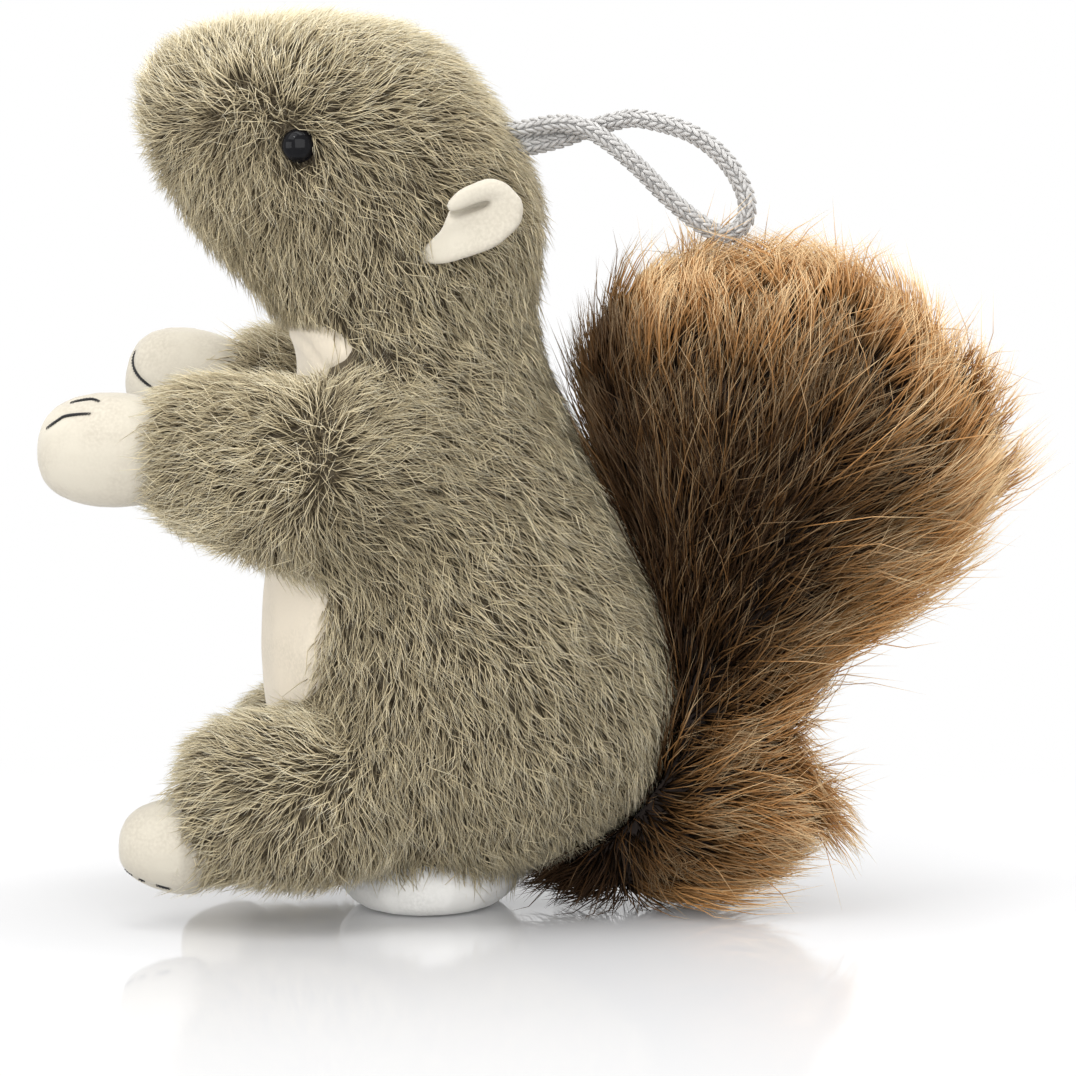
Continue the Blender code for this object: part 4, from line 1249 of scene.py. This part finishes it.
def makeEar(sideName, side, settings):
    bm = bmesh.new()
    bmesh.ops.create_uvsphere(bm, u_segments=96, v_segments=64, radius=1.0)
    edge, _ = smoothRoute((*settings["outline"], settings["outline"][0]), 0.4)
    outline = edge[:-1] - np.array(settings["middle"])
    angles = np.arctan2(outline[:, 1], outline[:, 0])
    order = np.argsort(angles)
    angles = angles[order]
    reaches = np.linalg.norm(outline, axis=1)[order]
    for vert in bm.verts:
        middleToEdge = min(1.0, math.hypot(vert.co.x, vert.co.y))
        reach = np.interp(math.atan2(vert.co.y, vert.co.x), angles, reaches, period=2 * math.pi)
        y = settings["middle"][0] + vert.co.x * reach
        z = settings["middle"][1] + vert.co.y * reach
        out = math.copysign(settings["thickness"] * math.sqrt(max(0.0, 1.0 - middleToEdge**4)), vert.co.z)
        if vert.co.z > 0.0:
            start, end, depth, width = settings["slit"]
            spot, part = intersect_point_line(Vector((y, z)), Vector(start), Vector(end))
            spot = Vector(start).lerp(Vector(end), min(1.0, max(0.0, part)))
            gap = math.hypot(y - spot[0], z - spot[1])
            out -= settings["hollow"] * (1.0 - middleToEdge**2) ** 1.5
            out -= depth * math.exp(-((gap / width) ** 2))
        else:
            out *= settings["backThickness"] / settings["thickness"]
        x = settings["reach"] + settings["tilt"] * (y - settings["middle"][0]) + out
        x -= settings["tuck"] * max(0.0, settings["tuckFrom"] - y)
        vert.co = Vector((x * side, y + settings["farShift"] * (side < 0), z)) * mm
    stations, _ = smoothRoute(settings["roll"], 0.5)
    for (y, z, radius), rise in zip(stations, np.linspace(*settings["rollRise"], len(stations))):
        x = settings["reach"] + settings["tilt"] * (y - settings["middle"][0]) + rise
        place = Matrix.Translation(Vector((x * side, y + settings["farShift"] * (side < 0), z)) * mm)
        scale = Matrix.Diagonal((0.72 * radius * mm, radius * mm, radius * mm, 1.0))
        bmesh.ops.create_icosphere(bm, subdivisions=2, radius=1.0, matrix=place @ scale)
    rough = meshFrom(bm, "ear")
    form = finishedMesh(rough, [("REMESH", {"mode": "VOXEL", "voxel_size": settings["voxel"]})])
    bm = bmesh.new()
    bm.from_mesh(form)
    smoothVerts(bm, 3)
    form = lighter(meshFrom(bm, f"ear_{sideName}_velour"))
    piece = newPiece(f"ear_{sideName}_velour", form, velour, [f"ear_{sideName}"])


makeEar("left", 1, earSettings)
makeEar("right", -1, earSettings)
print("ears made")


# eyes: glossy domes on short stems

eyeSettings = {"radius": 3.35, "dome": 2.4, "stem": 2.2, "segments": 40, "rings": 20}


def makeEye(sideName, side, settings):
    low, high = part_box(f"eye_{sideName}")
    middle = (Vector(low) + Vector(high)) / 2
    front = max(abs(low[0]), abs(high[0])) / mm
    bm = bmesh.new()
    bmesh.ops.create_uvsphere(bm, u_segments=settings["segments"], v_segments=settings["rings"], radius=1.0)
    for vert in bm.verts:
        depth = settings["dome"] if vert.co.z > 0.0 else settings["stem"]
        x = front - settings["dome"] + vert.co.z * depth
        y = middle.y / mm + vert.co.x * settings["radius"]
        z = middle.z / mm + vert.co.y * settings["radius"]
        vert.co = Vector((x * side, y, z)) * mm
    bmesh.ops.recalc_face_normals(bm, faces=bm.faces)
    dome = meshFrom(bm, f"eye_{sideName}_dome")
    newPiece(f"eye_{sideName}_dome", dome, eyePlastic, [f"eye_{sideName}"])


makeEye("left", 1, eyeSettings)
makeEye("right", -1, eyeSettings)
print("eyes made")


# cord loop: a core under columns of small slanted stitches

cordSettings = {
    "diameter": 3.4 * mm,
    "coreRadius": 1.2 * mm,
    "columns": 4,
    "pitch": 1.75 * mm,
    "stitchLength": 2.1 * mm,
    "stitchWidth": 0.98 * mm,
    "stitchDepth": 0.74 * mm,
    "low": 1.2 * mm,          # how far from the middle a stitch starts and ends
    "high": 1.55 * mm,
    "bulge": 0.14 * mm,
    "closing": 0.08,          # how near to its column's middle a stitch ends
    "overlap": 0.58,
    "step": 0.7 * mm,
}
cordRoute = (
    (0.0000, -0.0059, 0.1512), (-0.0002, -0.0017, 0.1520), (-0.0012, 0.0043, 0.1535),
    (-0.0021, 0.0102, 0.1556), (-0.0021, 0.0152, 0.1570), (-0.0016, 0.0202, 0.1574),
    (-0.0008, 0.0301, 0.1546), (-0.0003, 0.0370, 0.1493), (0.0000, 0.0410, 0.1424),
    (0.0003, 0.0408, 0.1371), (0.0006, 0.0370, 0.1347), (0.0010, 0.0321, 0.1369),
    (0.0014, 0.0261, 0.1418), (0.0018, 0.0202, 0.1477), (0.0021, 0.0142, 0.1528),
    (0.0021, 0.0092, 0.1556), (0.0013, 0.0043, 0.1565), (0.0002, -0.0037, 0.1553),
    (0.0000, -0.0079, 0.1548),
)


def makeCord(settings):
    route, stops = smoothRoute(cordRoute, settings["step"])
    length = stops[-1]
    ways = unit(np.gradient(route, axis=0))
    across = unit(np.cross(ways, np.array([1.0, 0.0, 0.0])))
    other = np.cross(ways, across)

    def onCord(along, turn, radius):
        centre, a, b = (
            np.array([np.interp(along, stops, line[:, axis]) for axis in range(3)])
            for line in (route, across, other)
        )
        return Vector(centre + (a * math.cos(turn) + b * math.sin(turn)) * radius)

    bm = bmesh.new()
    bm.from_mesh(tubeMesh("core", [route], settings["coreRadius"], 2))
    halfColumn = math.pi / settings["columns"]
    for column in range(settings["columns"]):
        middle = 2 * halfColumn * column
        for number in range(int(length / settings["pitch"])):
            along = (number + 0.5 + 0.5 * (column % 2)) * settings["pitch"]
            start, end = along - settings["stitchLength"] / 2, along + settings["stitchLength"] / 2
            if start < 0.0 or end > length:
                continue
            radius = (settings["low"] + settings["high"]) / 2 + settings["bulge"]
            for side in (-1, 1):
                turnIn = side * halfColumn * settings["closing"]
                turnOut = side * halfColumn
                low = onCord(start, middle + turnOut, settings["low"])
                high = onCord(end, middle + turnIn, settings["high"])
                centre = onCord(along, middle + (turnIn + turnOut) / 2, radius)
                axis = high - low
                outward = centre - onCord(along, 0.0, 0.0)
                wide = axis.cross(outward).normalized()
                up = wide.cross(axis).normalized()
                turn = Matrix((wide, up, axis.normalized())).transposed().to_4x4()
                long = axis.length * settings["overlap"]
                scale = Matrix.Diagonal((settings["stitchWidth"] / 2, settings["stitchDepth"] / 2, long, 1.0))
                place = Matrix.Translation(centre) @ turn @ scale
                bmesh.ops.create_uvsphere(bm, u_segments=6, v_segments=5, radius=1.0, matrix=place)
    mesh = meshFrom(bm, "hang_loop_cord")
    braid = newPiece("hang_loop_cord", mesh, cordYarn, ["hang_loop"])
    braid.data.calc_loop_triangles()
    print("cord of", round(length / mm), "mm,", len(braid.data.loop_triangles), "triangles")


makeCord(cordSettings)


# pieces inside

for node, material in (
    ("stuffing", fibreFilling), ("squeaker_bladder", innerPlastic), ("squeaker_reed", innerPlastic),
    ("eye_washer_left", innerPlastic), ("eye_washer_right", innerPlastic),
):
    nodes[node].data.materials.clear()
    nodes[node].data.materials.append(material)
print("pieces inside finished")


# floor, lamps and surroundings

stageSettings = {
    "floorSize": 6.0,
    "floorColour": (0.64, 0.64, 0.65),
    "floorRoughness": 0.06,
    "whitenNear": 0.05,
    "whitenFrom": 0.06,
    "whitenTo": 0.20,
    "stretch": 0.55,          # the grey part of the floor is longer along the toy
    "worldColour": (1.0, 1.0, 1.0),
    "worldStrength": 0.62,
}
lampSettings = (
    {"name": "key", "place": (0.45, -0.50, 0.85), "size": 0.6, "power": 3.1},
    {"name": "top", "place": (0.05, 0.05, 1.00), "size": 0.7, "power": 7.0},
    {"name": "fill", "place": (0.85, 0.10, 0.28), "size": 0.8, "power": 5.7},
    {"name": "front", "place": (0.55, -0.75, 0.12), "size": 0.6, "power": 3.3},
    {"name": "back", "place": (-0.40, 0.70, 0.55), "size": 0.6, "power": 4.5},
    {"name": "glint", "place": (0.55, -0.35, 0.75), "size": 0.03, "power": 0.25},
)


def seenDirectly(tree):
    path = tree.nodes.new("ShaderNodeLightPath")
    total = path.outputs["Is Camera Ray"]
    for output in ("Is Glossy Ray", "Is Transmission Ray"):
        either = tree.nodes.new("ShaderNodeMath")
        either.operation = "MAXIMUM"
        tree.links.new(total, either.inputs[0])
        tree.links.new(path.outputs[output], either.inputs[1])
        total = either.outputs[0]
    return total


# the floor turns white away from the toy, so that it has no visible edge
def whitenShare(tree, settings):
    place = tree.nodes.new("ShaderNodeTexCoord")
    squeeze = tree.nodes.new("ShaderNodeVectorMath")
    squeeze.operation = "MULTIPLY"
    squeeze.inputs[1].default_value = (1.0, settings["stretch"], 0.0)
    tree.links.new(place.outputs["Object"], squeeze.inputs[0])
    reach = tree.nodes.new("ShaderNodeVectorMath")
    reach.operation = "LENGTH"
    tree.links.new(squeeze.outputs["Vector"], reach.inputs[0])
    ramp = tree.nodes.new("ShaderNodeMapRange")
    ramp.interpolation_type = "SMOOTHSTEP"
    tree.links.new(reach.outputs["Value"], ramp.inputs["Value"])
    for name, value in (
        ("From Min", settings["whitenFrom"]),
        ("From Max", settings["whitenTo"]),
        ("To Min", settings["whitenNear"]),
    ):
        ramp.inputs[name].default_value = value
    both = tree.nodes.new("ShaderNodeMath")
    both.operation = "MULTIPLY"
    tree.links.new(seenDirectly(tree), both.inputs[0])
    tree.links.new(ramp.outputs["Result"], both.inputs[1])
    return both.outputs[0]


def makeStage(settings):
    bm = bmesh.new()
    bmesh.ops.create_grid(bm, x_segments=1, y_segments=1, size=settings["floorSize"] / 2)
    material = plainMaterial("paleFloor", settings["floorColour"], settings["floorRoughness"])
    tree = material.node_tree
    glow = tree.nodes.new("ShaderNodeEmission")
    glow.inputs["Color"].default_value = (1.0, 1.0, 1.0, 1.0)
    glow.inputs["Strength"].default_value = 1.0
    mix = tree.nodes.new("ShaderNodeMixShader")
    tree.links.new(whitenShare(tree, settings), mix.inputs[0])
    tree.links.new(tree.nodes["Principled BSDF"].outputs["BSDF"], mix.inputs[1])
    tree.links.new(glow.outputs[0], mix.inputs[2])
    tree.links.new(mix.outputs[0], tree.nodes["Material Output"].inputs["Surface"])
    floor = bpy.data.objects.new("floor", meshFrom(bm, "floor", smooth=False))
    floor.data.materials.append(material)
    bpy.context.scene.collection.objects.link(floor)
    world = bpy.data.worlds.new("studio")
    bpy.context.scene.world = world
    world.use_nodes = True
    tree = world.node_tree
    lit = tree.nodes["Background"]
    lit.inputs["Color"].default_value = (*settings["worldColour"], 1.0)
    lit.inputs["Strength"].default_value = settings["worldStrength"]
    seen = tree.nodes.new("ShaderNodeBackground")
    seen.inputs["Color"].default_value = (1.0, 1.0, 1.0, 1.0)
    mix = tree.nodes.new("ShaderNodeMixShader")
    tree.links.new(seenDirectly(tree), mix.inputs[0])
    tree.links.new(lit.outputs[0], mix.inputs[1])
    tree.links.new(seen.outputs[0], mix.inputs[2])
    tree.links.new(mix.outputs[0], tree.nodes["World Output"].inputs["Surface"])


def makeLamp(settings):
    data = bpy.data.lights.new(settings["name"], "AREA")
    data.size = settings["size"]
    data.energy = settings["power"]
    lamp = bpy.data.objects.new(settings["name"], data)
    lamp.location = settings["place"]
    toward = Vector(cameraSettings["target"]) - lamp.location
    lamp.rotation_euler = toward.to_track_quat("-Z", "Y").to_euler()
    bpy.context.scene.collection.objects.link(lamp)


makeStage(stageSettings)
for settings in lampSettings:
    makeLamp(settings)
bpy.context.scene.view_settings.view_transform = "Standard"
print("stage and lamps made")
